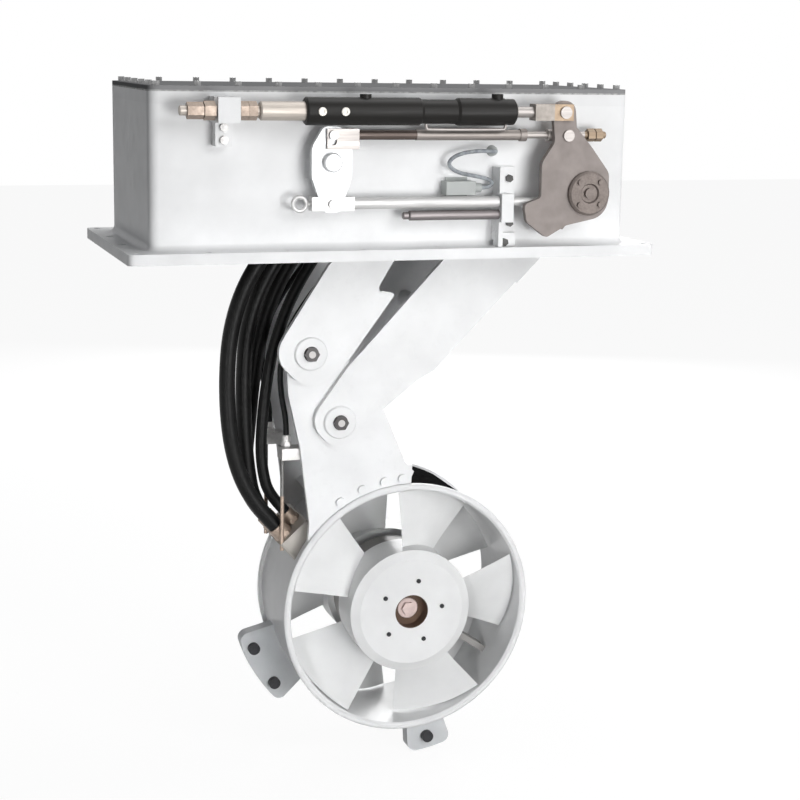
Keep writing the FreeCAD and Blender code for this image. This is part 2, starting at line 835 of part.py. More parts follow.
def sector(inner, outer, first, last, near, far):
    """A solid slice of a ring about the tunnel's axis, from Y near to Y far."""
    middle = (first + last) / 2
    arcs = []
    for radius, a, b in ((outer, first, last), (inner, last, first)):
        ends = [spot(polar(angle, radius)[0], near, polar(angle, radius)[1])
                for angle in (a, middle, b)]
        arcs.append(Part.Arc(*ends).toShape())
    start_line = Part.LineSegment(arcs[0].Vertexes[-1].Point, arcs[1].Vertexes[0].Point)
    end_line = Part.LineSegment(arcs[1].Vertexes[-1].Point, arcs[0].Vertexes[0].Point)
    wire = Part.Wire(Part.__sortEdges__([*arcs, start_line.toShape(), end_line.toShape()]))
    return Part.Face(wire).extrude(FreeCAD.Vector(0, float(far) - float(near), 0))


def build_saddle():
    reach = float(dims.platform_half_gap)
    shell = float(tunnel_shell_radius)
    saddle = sector(shell, float(saddle_radius), SADDLE_FROM, SADDLE_TO, -reach, reach)
    shaped("tunnel_saddle", saddle)
    face = float(plate_outer)
    bolts = []
    for angle in PLATFORM_BOLTS:
        x, z = polar(angle, bolt_ring)
        for side in (-1, 1):
            bolts.append(screw(spot(x, side * face, z), (0, side, 0), 7.5, 5.5,
                               float(dims.platform_bolt_radius), float(dims.platform_thick),
                               sides=0))
    shaped("platform_bolts", Part.makeCompound(bolts))


def at_tunnel(item):
    place(item, tunnel_x, 0, tunnel_z)
    return item


def build_tunnel():
    half = dims.tunnel_length / 2
    lip = dims.tunnel_lip_width
    bore = dims.tunnel_bore_radius
    body = revolved("tunnel", "Y", [
        (-half + 3, bore),
        (half - 3, bore),
        (half, bore + 3),
        (half, tunnel_lip_radius - 3),
        (half - 2, tunnel_lip_radius),
        (half - lip, tunnel_lip_radius),
        (half - lip, tunnel_shell_radius),
        (-half + lip, tunnel_shell_radius),
        (-half + lip, tunnel_lip_radius),
        (-half + 2, tunnel_lip_radius),
        (-half, tunnel_lip_radius - 3),
        (-half, bore + 3),
    ])
    node(at_tunnel(body), "tunnel")

    pod = dims.pod_radius
    depth = dims.pod_half_length
    hole = dims.propeller_shaft_radius + dims.running_gap
    body = revolved("motor_case", "Y", [
        (-depth, hole),
        (depth, hole),
        (depth, pod - 8),
        (depth - 5, pod),
        (5 - depth, pod),
        (-depth, pod - 8),
    ])
    at_tunnel(body)
    centre = spot(tunnel_x, -float(depth), tunnel_z)
    along = FreeCAD.Vector(0, 1, 0)
    width = 2 * float(depth)
    ring = Part.makeCylinder(float(bore), width, centre, along)
    ring = ring.cut(Part.makeCylinder(float(pod) - 1, width, centre, along))
    thick = float(dims.vane_thick)
    vanes = []
    for angle in (56, 146, 236, 326):
        vane = Part.makeBox(float(bore) + 5, width - 12, thick,
                            FreeCAD.Vector(0, 6 - float(depth), -thick / 2))
        vane.rotate(FreeCAD.Vector(), FreeCAD.Vector(0, 1, 0), -angle)
        vane.translate(spot(tunnel_x, 0, tunnel_z))
        vanes.append(vane.common(ring))
    vane_ring = doc.addObject("Part::Feature", "motor_vanes")
    vane_ring.Shape = Part.makeCompound(vanes)
    node(fused("motor_pod", body, vane_ring), "motor_pod")

    shell = float(tunnel_shell_radius)
    port = Part.makeBox(40, 116, 58, FreeCAD.Vector(-40, -58, -42))
    port = port.makeFillet(5, [edge for edge in port.Edges if edge.BoundBox.XLength > 39])
    port.rotate(FreeCAD.Vector(), FreeCAD.Vector(0, 1, 0), -PORT_ANGLE)
    port.translate(spot(PORT_X, 0, PORT_Z))
    barrel = Part.makeCylinder(shell, float(dims.tunnel_length),
                               spot(tunnel_x, -dims.tunnel_length / 2, tunnel_z), along)
    shaped("tunnel_port_block", port.cut(barrel))

    build_lugs(shell)


def build_lugs(shell):
    """Lugs for the hull door, each a slice of ring with a rounded tip and its bolts."""
    lugs = []
    bolts = []
    for first, last, middle_y, spots in (
        (194, 225, 40, ((200.6, 241), (217.5, 241))),
        (273, 290, -50, ((281, 235),)),
    ):
        near = middle_y - 12
        far = middle_y + 12
        lug = sector(shell, 257, first, last, near, far)
        edges = [edge for edge in lug.Edges
                 if abs(edge.BoundBox.YLength - 24) < 0.1
                 and radius_of(edge.CenterOfMass) > 250]
        lug = lug.makeFillet(14, edges)
        for angle, radius in spots:
            x, z = polar(angle, radius)
            bolts.append(screw(spot(x, near, z), (0, -1, 0), 9.5, 9, 5, 24, sides=0))
            hole = Part.makeCylinder(5, 24, spot(x, near, z), FreeCAD.Vector(0, 1, 0))
            lug = lug.cut(hole)
        lugs.append(lug)
    shaped("door_lugs", Part.makeCompound(lugs))
    shaped("door_lug_bolts", Part.makeCompound(bolts))


def radius_of(point):
    return math.hypot(point.x - float(tunnel_x), point.z - float(tunnel_z))


# ---------------------------------------------------------------- propellers

def blade_section(radius, chord, pitch, thickness, middle_y):
    """A lens across the radius, turned by the pitch; the blade stands along +X."""
    turn = math.radians(pitch)
    along = FreeCAD.Vector(0, math.sin(turn), math.cos(turn))
    across = FreeCAD.Vector(0, math.cos(turn), -math.sin(turn))
    centre = FreeCAD.Vector(radius, middle_y, 0)
    first = centre - along * (chord / 2)
    last = centre + along * (chord / 2)
    front = Part.Arc(first, centre - across * (thickness / 2), last).toShape()
    back = Part.Arc(last, centre + across * (thickness / 2), first).toShape()
    return Part.Wire([front, back])


def build_propeller(label, side, first_angle):
    front = dims.tunnel_length / 2
    back = front - dims.hub_depth
    face = front + dims.hub_proud
    radius = dims.hub_radius
    hub = revolved(f"{label}_hub", "Y", [
        (side * back, dims.propeller_shaft_radius),
        (side * (front - 2), dims.propeller_shaft_radius),
        (side * (front - 2), 27),
        (side * face, 27),
        (side * face, radius - dims.hub_bevel),
        (side * (face - 7), radius),
        (side * back, radius),
    ])
    at_tunnel(hub)
    tip = float(dims.tunnel_bore_radius) - float(dims.blade_tip_gap)
    middle = side * (float(front) - 32)
    thick = float(dims.blade_thick)
    sections = [
        blade_section(float(radius) - 6, 82, side * 31, thick, middle),
        blade_section(146, 122, side * 24, thick * 0.7, middle),
        blade_section(float(dims.tunnel_bore_radius) + 6, 166, side * 18, thick * 0.45, middle),
    ]
    blade = Part.makeLoft(sections, True, False)
    sweep = Part.makeCylinder(tip, 200, FreeCAD.Vector(0, -100, 0), FreeCAD.Vector(0, 1, 0))
    blade = blade.common(sweep)
    core = Part.makeCylinder(float(radius) - 3, 200, FreeCAD.Vector(0, -100, 0),
                             FreeCAD.Vector(0, 1, 0))
    blade = blade.cut(core)
    blades = []
    for step in range(5):
        copy = blade.copy()
        copy.rotate(FreeCAD.Vector(), FreeCAD.Vector(0, 1, 0), -(first_angle + step * BLADE_PITCH))
        copy.translate(spot(tunnel_x, 0, tunnel_z))
        blades.append(copy)
    doc.recompute()
    shape = hub.Shape.fuse(blades)
    shaped(label, shape)


def build_propellers():
    build_propeller("propeller_front", -1, 2)
    build_propeller("propeller_rear", 1, 38)
    half = dims.tunnel_length / 2
    end = half - 2
    radius = dims.propeller_shaft_radius
    body = revolved("propeller_shaft_bar", "Y", bar_profile(-end, end, radius, 1))
    at_tunnel(body)
    nuts = []
    for start in (-end - 5, end):
        nuts.append(hexagon("shaft_nut", "Y", 11, 5, (tunnel_x, start, tunnel_z)))
    node(fused("propeller_shaft", body, *nuts), "propeller_shaft")


# ---------------------------------------------------------------- crank and lock cam

def build_crank():
    def at(dx, dz, *radius):
        return (dims.shaft_x + dx, dims.shaft_z + dz, *radius)

    pin_dx = dims.crank_pin_dx
    pin_dz = dims.crank_pin_dz
    corners = [
        at(pin_dx - 18, pin_dz + 17, 17),
        at(pin_dx + 18, pin_dz + 17, 17),
        at(pin_dx + 22, pin_dz - 22),
        at(6, 66),
        at(34, 30, 22),
        at(34, -34, 32),
        at(-34, -48, 20),
        at(-66, -66, 7),
        at(-98, -42, 10),
        at(-103, -16, 9),
        at(-76, -6, 6),
        at(-76, 46, 18),
        at(-56, 76, 16),
    ]
    holes = [
        at(0, 0, dims.shaft_radius),
        at(pin_dx, pin_dz, dims.crank_pin_radius),
        at(dims.swivel_pin_dx, dims.swivel_pin_dz, dims.crank_pin_radius),
    ]
    plate = flat_plate("crank_plate", crank_back, dims.crank_thick, corners, holes)
    node(plate, "crank_plate")

    outer = half_width + dims.bush_flange_thick
    sleeve = tube_profile(-(outer + dims.side_gap), crank_back, 25, dims.shaft_radius)
    sleeve = at_shaft(revolved("cam_sleeve", "Y", sleeve))
    radius = dims.crank_hub_radius
    cap = revolved("crank_cap_disc", "Y", [
        (crank_front, 0),
        (crank_front, radius),
        (crank_front - 5, radius),
        (crank_front - 8, radius - 3),
        (crank_front - 8, 15),
        (crank_front - 5, 13),
        (crank_front - 5, 0),
    ])
    at_shaft(cap)
    bolts = []
    face = float(crank_front) - 8
    for step in range(4):
        turn = math.radians(45 + 90 * step)
        base = spot(float(dims.shaft_x) + 23.5 * math.cos(turn), face,
                    float(dims.shaft_z) + 23.5 * math.sin(turn))
        bolts.append(cylinder("hub_bolt", "Y", 4.2, 5, (base.x, face - 4, base.z)))
    bolts.append(cylinder("hub_centre_bolt", "Y", 8, 6, (dims.shaft_x, face - 2, dims.shaft_z)))
    node(fused("crank_hub_cap", cap, *bolts), "crank_hub_cap")

    pins = []
    clevis_front = crank_front - 8
    clevis_back = crank_back + 8
    pins.append(cylinder("fork_pin", "Y", dims.crank_pin_radius, clevis_back - clevis_front,
                         (pin_x, clevis_front, pin_z)))
    pins.append(cylinder("fork_pin_head", "Y", 9, 3, (pin_x, clevis_front - 3, pin_z)))
    cylinder_pin = fused("cylinder_pin", *pins)
    swivel_end = mech_y - dims.link_rod_radius - 1
    pin = cylinder("swivel_shank", "Y", dims.crank_pin_radius, swivel_end - crank_front,
                   (swivel_x, crank_front, swivel_z))
    head = cylinder("swivel_head", "Y", 8.5, 4, (swivel_x, crank_front - 4, swivel_z))
    node(group("crank_pins", cylinder_pin, fused("swivel_pin", pin, head)), "crank_pins")

    base = float(dims.cam_base_radius)
    rise = float(dims.cam_rise_per_degree)
    first = CAM_FROM
    spiral = []
    for step in range(11):
        angle = first + (CAM_TO - first) * step / 10
        turn = math.radians(angle)
        radius = base + rise * (angle - first)
        spiral.append(spot(radius * math.cos(turn), 0, radius * math.sin(turn)))
    curve = Part.BSplineCurve()
    curve.interpolate(spiral)
    back_turn = math.radians((CAM_TO + first + 360) / 2)
    low = 26.0
    inner = spot(low * math.cos(back_turn), 0, low * math.sin(back_turn))
    closing = Part.makePolygon([spiral[-1], inner, spiral[0]])
    profile = Part.Face(Part.Wire([curve.toShape(), *closing.Edges]))
    thick = float(dims.cam_thick)
    cam = profile.extrude(FreeCAD.Vector(0, thick, 0))
    collar = Part.makeCylinder(36, thick, FreeCAD.Vector(), FreeCAD.Vector(0, 1, 0))
    hole = Part.makeCylinder(25, thick, FreeCAD.Vector(), FreeCAD.Vector(0, 1, 0))
    cam = cam.fuse(collar).cut(hole)
    cam.translate(spot(dims.shaft_x, float(mech_y) - thick / 2, dims.shaft_z))
    disc = doc.addObject("Part::Feature", "cam_disc")
    disc.Shape = cam
    node(fused("lock_cam", disc, sleeve), "lock_cam")



# ---------------------------------------------------------------- hydraulic cylinder

def along_cylinder(item):
    place(item, 0, crank_y, pin_z)
    return item


def build_cylinder():
    start = dims.barrel_start
    end = dims.barrel_end
    radius = dims.barrel_radius
    bore = dims.barrel_bore_radius
    tube = revolved("cylinder_tube_body", "X", [
        (start + 6, bore),
        (end - 18, bore),
        (end - 18, radius),
        (76, radius),
        (72, radius - 2.5),
        (20, radius - 2.5),
        (16, radius),
        (start + 2, radius),
        (start, radius - 2),
        (start, bore - 2),
        (start + 6, bore - 2),
    ])
    along_cylinder(tube)
    ports = []
    holes = []
    for x, height in ((-64.3, 4.5), (138, 6)):
        seat = pin_z + bore + 1
        top = radius - bore - 1 + height
        ports.append(cylinder("port_boss", "Z", 8.5, top, (x, crank_y, seat)))
        holes.append(cylinder("port_bore", "Z", 4.3, top + 2, (x, crank_y, seat - 2)))
    node(cut("cylinder_tube", fused("ported_tube", tube, *ports), *holes), "cylinder_tube")
    gland = revolved("cylinder_gland", "X", [
        (end - 18, dims.piston_rod_radius + dims.running_gap),
        (end, dims.piston_rod_radius + dims.running_gap),
        (end, radius - 5),
        (end - 3, radius - 1),
        (end - 18, radius - 1),
    ])
    node(along_cylinder(gland), "cylinder_gland")
    stud = dims.stud_radius
    cap = revolved("cylinder_rear_cap", "X", [
        (dims.stud_end, 0),
        (start + 6, 0),
        (start + 6, bore - 2),
        (start, bore - 2),
        (start, 13.5),
        (start - 64, 13.5),
        (start - 66, 11.5),
        (start - 66, stud),
        (dims.stud_end + 1, stud),
        (dims.stud_end, stud - 1),
    ])
    node(along_cylinder(cap), "cylinder_rear_cap")
    nuts = []
    right = dims.anchor_x + dims.anchor_half + dims.anchor_gap
    left = dims.anchor_x - dims.anchor_half - dims.anchor_gap
    for x, length, size in ((right, 12, 13.5), (right + 12.5, 12, 13.5),
                            (left - 16, 16, 13.5), (left - 40, 23, 12)):
        nuts.append(cut("anchor_nut",
                        hexagon("nut_body", "X", size, length, (x, crank_y, pin_z)),
                        cylinder("nut_hole", "X", stud, length, (x, crank_y, pin_z))))
    node(group("anchor_nuts", *nuts), "anchor_nuts")

    rod_start = start + 14
    fork = 48
    rod = revolved("piston_bar", "X", bar_profile(rod_start, pin_x - fork + 8,
                                                  dims.piston_rod_radius, 0.8))
    along_cylinder(rod)
    piston = revolved("piston", "X", tube_profile(rod_start + 2, rod_start + 22,
                                                  bore - dims.running_gap,
                                                  dims.piston_rod_radius))
    node(fused("piston_rod", rod, along_cylinder(piston)), "piston_rod")
    width = dims.crank_thick + 1
    ear = 7.0
    height = 24
    body = block("fork_block", (fork + 13, width + 2 * ear, height),
                 (pin_x - fork, crank_y - width / 2 - ear, pin_z - height / 2))
    slot = block("fork_slot", (fork, width, height),
                 (pin_x - 28, crank_y - width / 2, pin_z - height / 2))
    pin_hole = cylinder("fork_hole", "Y", dims.crank_pin_radius + dims.running_gap, 60,
                        (pin_x, crank_y - 30, pin_z))
    rod_hole = cylinder("fork_socket", "X", dims.piston_rod_radius, 8,
                        (pin_x - fork, crank_y, pin_z))
    node(cut("rod_fork", body, slot, pin_hole, rod_hole), "rod_fork")


def build_anchor():
    """A wall bracket with an upright open slot, in which the stud can rise."""
    start = dims.anchor_x - dims.anchor_half
    length = dims.anchor_half * 2
    front = crank_y - 16
    depth = front_wall - front
    slot_floor = pin_z - dims.stud_radius - 2
    body = block("anchor_body", (length, depth, 36), (start, front, slot_floor - 8))
    foot = block("anchor_foot", (length - 8, 22, 34), (start + 4, front_wall - 22, slot_floor - 42))
    slot = block("anchor_slot", (length, dims.stud_radius * 2 + 1.6, 60),
                 (start, crank_y - dims.stud_radius - 0.8, slot_floor))
    holes = [cylinder("anchor_hole", "Y", 3.5, 22, (dims.anchor_x, front_wall - 22, z))
             for z in anchor_holes]
    solid = fused("anchor_solid", body, foot)
    node(cut("anchor_bracket", solid, slot, *holes), "anchor_bracket")


# ---------------------------------------------------------------- lock linkage

def along_link(item):
    place(item, 0, mech_y, swivel_z)
    return item


def build_spring_link():
    radius = dims.link_rod_radius
    rod = revolved("link_bar", "X", bar_profile(60, 321, radius, 0.8))
    along_link(rod)
    collar = revolved("link_collar", "X", tube_profile(swivel_x - 26, swivel_x - 11, 9, radius))
    pieces = [rod, along_link(collar)]
    for x in (291, 303.5):
        pieces.append(hexagon("link_nut", "X", 9.8, 11, (x, mech_y, swivel_z)))
    node(fused("link_rod", *pieces), "link_rod")
    back = crank_back + dims.side_gap
    depth = mech_y + 9 - back
    body = block("swivel_body", (22, depth, 20), (swivel_x - 11, back, swivel_z - 10))
    rod_hole = cylinder("swivel_rod_hole", "X", radius, 22, (swivel_x - 11, mech_y, swivel_z))
    pin_depth = mech_y - radius - 1 + 0.3 - back
    pin_hole = cylinder("swivel_pin_hole", "Y", dims.crank_pin_radius + dims.running_gap,
                        pin_depth, (swivel_x, back, swivel_z))
    node(cut("swivel_block", body, rod_hole, pin_hole), "swivel_block")

    bore = radius + 0.4
    outer = dims.sleeve_radius
    end = dims.sleeve_end
    sleeve = revolved("sleeve_tube", "X", [
        (dims.sleeve_start, 0),
        (dims.sleeve_start + 6, 0),
        (dims.sleeve_start + 6, bore),
        (end, bore),
        (end, outer + 1.5),
        (end - 10, outer + 1.5),
        (end - 10, outer),
        (dims.sleeve_start, outer),
    ])
    along_link(sleeve)
    fork_gap = dims.lever_thick + 1
    ear = 5
    drop = 20
    width = 18
    reach = 38
    pull_start = dims.lever_x + reach
    pull = cylinder("pull_bar", "X", 7.2, dims.sleeve_start - pull_start,
                    (pull_start, mech_y, swivel_z))
    body = block("pull_fork", (width / 2 + reach + 1, fork_gap + 2 * ear, drop + 9),
                 (dims.lever_x - width / 2, mech_y - fork_gap / 2 - ear, swivel_z - drop))
    gap = block("pull_gap", (width / 2 + reach - 5, fork_gap, drop + 9),
                (dims.lever_x - width / 2, mech_y - fork_gap / 2, swivel_z - drop))
    pin = dims.lever_pin_radius
    slot = slot_tool("pull_slot", dims.lever_x, swivel_z, pin + 1, 9)
    solid = fused("sleeve_solid", sleeve, pull, body)
    node(cut("link_sleeve", solid, gap, slot), "link_sleeve")


def slot_tool(name, x, z, radius, drop):
    """An upright slot along Y: two round ends joined by a block."""
    start = mech_y - 30
    top = cylinder(f"{name}_top", "Y", radius, 60, (x, start, z))
    low = cylinder(f"{name}_low", "Y", radius, 60, (x, start, z - drop))
    middle = block(f"{name}_mid", (radius * 2, 60, drop), (x - radius, start, z - drop))
    return fused(name, top, low, middle)


def build_lever():
    thick = dims.lever_thick
    front = mech_y - thick / 2
    x = dims.lever_x
    z = dims.lever_z
    top = lever_top
    low = lever_bottom
    corners = [
        (x - 13, z + top + 12, 11),
        (x + 13, z + top + 12, 11),
        (x + 30, z + 22, 26),
        (x + 30, z - 22, 26),
        (x + 12, z - low - 13, 10),
        (x - 12, z - low - 13, 10),
        (x - 30, z - 22, 26),
        (x - 30, z + 22, 26),
    ]
    pin = dims.lever_pin_radius
    holes = [
        (x, z, dims.lever_pivot_radius + dims.running_gap),
        (x, z + top, pin),
    ]
    plate = flat_plate("lever_plate", front + thick, thick, corners, holes)
    slot = slot_tool("lever_slot", x, z - low + 1.5, pin + 0.5, 6)
    slotted = cut("slotted_lever", plate, slot)
    pin_start = mech_y - thick / 2 - 0.5 - 5 - 2
    pin_length = thick + 1 + 14
    top_pin = cylinder("lever_pin_shank", "Y", pin, pin_length, (x, pin_start, z + top))
    head = cylinder("lever_pin_head", "Y", 6.5, 2.5, (x, pin_start - 2.5, z + top))
    node(fused("lever", slotted, top_pin, head), "lever")

    boss_start = front - 9
    stud = revolved("lever_pivot", "Y", [
        (boss_start, 0),
        (front_wall, 0),
        (front_wall, 17),
        (front + thick + 0.5, 17),
        (front + thick + 0.5, dims.lever_pivot_radius),
        (front - 0.5, dims.lever_pivot_radius),
        (front - 0.5, 14),
        (boss_start + 2, 14),
        (boss_start, 12),
    ])
    place(stud, x, 0, z)
    node(stud, "lever_pivot")


def cam_edge():
    """Furthest reach of the cam towards the plunger, over the plunger's height."""
    reach = 0.0
    tip = float(dims.plunger_tip_radius)
    height = float(dims.plunger_z) - float(dims.shaft_z)
    for step in range(CAM_TO - CAM_FROM):
        angle = CAM_FROM + step
        radius = float(dims.cam_base_radius) + float(dims.cam_rise_per_degree) * step
        turn = math.radians(angle)
        if abs(radius * math.sin(turn) - height) <= tip + 1:
            reach = max(reach, -radius * math.cos(turn))
    return reach


def build_plunger():
    radius = dims.plunger_rod_radius
    tip = dims.plunger_tip_radius
    x = dims.lever_x
    shoulder = dims.bracket_x - dims.bracket_half - 1
    tip_end = dims.shaft_x - cam_edge() - 0.6
    rod = revolved("plunger_bar", "X", [
        (x + 32, 0),
        (tip_end, 0),
        (tip_end, tip - 1.5),
        (tip_end - 1.5, tip),
        (shoulder, tip),
        (shoulder, radius),
        (x + 32, radius),
    ])
    place(rod, 0, mech_y, dims.plunger_z)
    fork_gap = dims.lever_thick + 1
    ear = 5
    height = 20
    low = dims.plunger_z - height / 2
    depth = fork_gap + 2 * ear
    front = mech_y - depth / 2
    body = block("plunger_fork_body", (64, depth, height), (x - 31, front, low))
    gap = block("plunger_fork_gap", (52, fork_gap, height), (x - 26, front + ear, low))
    forked = cut("forked_plunger", fused("plunger_solid", rod, body), gap)
    pin = cylinder("plunger_pin_shank", "Y", dims.lever_pin_radius, depth + 3,
                   (x, front - 1.5, dims.plunger_z))
    head = cylinder("plunger_pin_head", "Y", 6.5, 2.5, (x, front - 4, dims.plunger_z))
    ring = doc.addObject("Part::Torus", "ring_loop")
    ring.Radius1 = 10
    ring.Radius2 = 3
    ring.Placement.Rotation = FreeCAD.Rotation(FreeCAD.Vector(1, 0, 0), 90)
    place(ring, x - 47, mech_y, dims.plunger_z)
    shank = cylinder("ring_shank", "X", 3.5, 5, (x - 35, mech_y, dims.plunger_z))
    node(fused("lock_plunger", forked, pin, head, ring, shank), "lock_plunger")


def build_lock_bracket():
    start = dims.bracket_x - dims.bracket_half
    length = dims.bracket_half * 2
    plate_back = 9.3
    foot_top = 25.3
    height = 135 - foot_top
    foot_front = front_wall - 17.5
    plate = block("bracket_plate", (length, plate_back, height),
                  (start, front_wall - plate_back, foot_top))
    rib = block("bracket_rib", (7, 30, height), (start, front_wall - 30, foot_top))
    foot = block("bracket_foot", (length, 17.5 - plate_back, 20), (start, foot_front, 16.3))
    rib_foot = block("bracket_rib_foot", (7, 30 - plate_back, 9.5),
                     (start, front_wall - 30, 16.3))
    guide_front = mech_y - 14
    guide = block("bracket_guide", (length - 13, front_wall - guide_front, 42),
                  (start, guide_front, dims.cartridge_z - 11))
    bore = cylinder("bracket_bore", "X", dims.plunger_tip_radius + 0.1, length,
                    (start, mech_y, dims.plunger_z))
    bolts = []
    holes = []
    for dx, z, face, grip in ((6.5, 117.3, front_wall - plate_back, plate_back),
                              (8.5, 50.4, front_wall - plate_back, plate_back),
                              (-2, 22.4, foot_front, 17.5 - plate_back)):
        x = dims.bracket_x + dx
        bolts.append(screw(spot(x, face, z), (0, -1, 0), 5.9, 5, 3.5, grip))
        holes.append(cylinder("bracket_hole", "Y", 3.5, grip, (x, face, z)))
    solid = fused("bracket_solid", plate, rib, foot, rib_foot, guide)
    node(cut("lock_bracket", solid, bore, *holes), "lock_bracket")
    anchor_face = front_wall - 22
    for z in anchor_holes:
        bolts.append(screw(spot(dims.anchor_x, anchor_face, z), (0, -1, 0), 6.5, 5, 3.5, 22))
    shaped("bracket_bolts", Part.makeCompound(bolts))
    radius = dims.cartridge_radius
    tube = revolved("spring_cartridge", "X", [
        (0, 0),
        (start, 0),
        (start, radius),
        (10.5, radius),
        (9, radius - 2),
        (9, 3),
        (8, 3),
        (8, 5.5),
        (1, 5.5),
        (0, 4.5),
    ])
    place(tube, 0, mech_y, dims.cartridge_z)
    node(tube, "spring_cartridge")


def build_sensor():
    body = block("sensor_body", (46, 24, 20), (69, front_wall - 24, 94))
    nose = cylinder("sensor_nose", "X", 7, 12, (115, front_wall - 12, 104))
    foot = block("sensor_foot", (34, 3, 30), (75, front_wall - 3, 89))
    sensor = fused("sensor_solid", body, nose, foot)
    gland = revolved("cable_gland", "Y", [
        (front_wall, 0),
        (front_wall - 14, 0),
        (front_wall - 14, 4.5),
        (front_wall - 8, 7),
        (front_wall, 8.5),
    ])
    place(gland, 148, 0, 158)
    node(group("position_sensor", sensor, gland), "position_sensor")
    points = [(x, front_wall - off_wall, z) for x, off_wall, z in (
        (148, 14.3, 158), (147, 30, 158), (118, 30, 160), (84, 26, 155), (69, 21, 140),
        (88, 19, 126), (122, 18, 121), (146, 16, 114), (142, 12, 104), (127.3, 12, 104),
    )]
    route_tube("sensor_cable", points, 3)


# ---------------------------------------------------------------- hoses and cable

def route_tube(label, points, radius):
    """A round tube along straight runs joined by tangent arcs."""
    spots = [spot(*point) for point in points]
    edges = []
    here = spots[0]
    for before, corner, after in zip(spots, spots[1:], spots[2:]):
        inward = (before - corner)
        outward = (after - corner)
        shorter = min(inward.Length, outward.Length)
        inward.normalize()
        outward.normalize()
        half_turn = (math.pi - inward.getAngle(outward)) / 2
        reach = 0.45 * shorter
        bend = reach / math.tan(half_turn)
        first = corner + inward * reach
        last = corner + outward * reach
        towards = (inward + outward).normalize()
        middle = corner + towards * (bend / math.cos(half_turn) - bend)
        edges.append(Part.LineSegment(here, first).toShape())
        edges.append(Part.Arc(first, middle, last).toShape())
        here = last
    edges.append(Part.LineSegment(here, spots[-1]).toShape())
    wire = Part.Wire(edges)
    direction = (spots[1] - spots[0]).normalize()
    section = Part.Wire(Part.Circle(spots[0], direction, float(radius)).toShape())
    tube = wire.makePipeShell([section], True, False)
    shaped(label, tube)


ROUTES = {
    "hose_pressure": [
        (195.8, -34, 96.1), (170, -34, 121), (120, -34, 143), (62, -34, 148), (0, -33, 136),
        (-66, -31, 98), (-136, -30, 36), (-192, -29, -34), (-222, -29, -112),
        (-230, -30, -200), (-226, -32, -285), (-211, -33, -350), (-184, -34, -401),
        (-152.7, -34, -435.7),
    ],
    "hose_supply": [
        (195.8, 0, 96.1), (172, 0, 119), (120, 1, 136), (62, 3, 139), (4, 5, 120),
        (-54, 7, 80), (-110, 9, 22), (-158, 10, -44), (-187, 9, -118), (-195, 6, -200),
        (-194, 3, -285), (-190, 2, -345), (-179.7, 0, -405.7), (-152.7, 0, -435.7),
    ],
    "hose_return": [
        (195.8, 34, 96.1), (173, 34, 118), (122, 34, 129), (64, 35, 128), (6, 36, 108),
        (-46, 37, 64), (-92, 38, 4), (-132, 38, -60), (-158, 37, -130), (-172, 35, -205),
        (-180, 34, -285), (-186, 34, -345), (-183.5, 34, -401.5), (-152.7, 34, -435.7),
    ],
    "hose_feed": [
        (179, -16, 78.9), (158, -16, 99), (112, -16, 107), (58, -17, 104), (6, -19, 86),
        (-40, -20, 48), (-86, -20, -10), (-126, -18, -78), (-153, -15, -156),
        (-166, -14, -236), (-172, -15, -310), (-168, -16, -356), (-158, -17, -389.5),
        (-132.7, -17, -417.6),
    ],
    "hose_drain_front": [
        (179, -58, 78.9), (158, -58, 99), (108, -58, 102), (58, -58, 92), (14, -58, 70),
        (-26, -58, 34), (-66, -58, -20), (-108, -57, -72), (-140, -55, -122),
        (-151, -53, -180), (-148, -52, -226), (-140, -52, -262), (-140, -52, -286),
    ],
    "hose_drain_rear": [
        (179, 58, 78.9), (158, 58, 99), (110, 58, 105), (60, 58, 95), (14, 58, 74),
        (-30, 58, 38), (-70, 57, -16), (-111, 56, -68), (-143, 54, -120),
        (-154, 53, -180), (-150, 52, -226), (-140, 52, -262), (-140, 52, -286),
    ],
}
THICK = ("hose_pressure", "hose_supply", "hose_return")


def fitting(point, towards, length, radius):
    """A ferrule with a hexagon at its foot, from a hose end to the block it screws into."""
    along = FreeCAD.Vector(*towards).normalize()
    start = FreeCAD.Vector(*point) + along * 0.3
    length -= 0.5
    foot = start + along * (length - 7)
    sleeve = Part.makeCylinder(radius, length, start, along)
    side = along.cross(FreeCAD.Vector(0, 1, 0)).normalize() * (radius + 1.5)
    turn = FreeCAD.Rotation(along, 60)
    ring = [foot + side]
    for _ in range(5):
        side = turn.multVec(side)
        ring.append(foot + side)
    ring.append(ring[0])
    return sleeve.fuse(Part.Face(Part.makePolygon(ring)).extrude(along * 7)).removeSplitter()


def build_hoses():
    radii = {name: float(dims.thick_hose_radius) for name in THICK}
    radii["hose_feed"] = float(dims.return_hose_radius)
    block_normal = (float(arm_rise), 0, -float(arm_run))
    inward = math.radians(PORT_ANGLE)
    port_normal = (-math.cos(inward), 0, -math.sin(inward))
    arm_side = []
    tunnel_side = []
    for label, points in ROUTES.items():
        radius = radii.get(label, float(dims.thin_hose_radius))
        route_tube(label, points, radius)
        sleeve = radius + 2
        arm_side.append(fitting(points[0], block_normal, 20, sleeve))
        if label in radii:
            tunnel_side.append(fitting(points[-1], port_normal, 22, sleeve))
        else:
            tunnel_side.append(fitting(points[-1], (0, 0, -1), 18, sleeve))
    port = next(item.Shape for item in nodes if item.Label == "tunnel_port_block")
    for side in (-1, 1):
        tunnel_side.append(Part.makeBox(36, 30, 18, spot(-152, min(side * 44, side * 74), -322)))
        tunnel_side.append(Part.makeCylinder(3.2, 150, spot(-146, side * 52, -472)).cut(port))
    shaped("hose_fittings_arm", Part.makeCompound(arm_side))
    shaped("hose_fittings_tunnel", Part.makeCompound(tunnel_side))


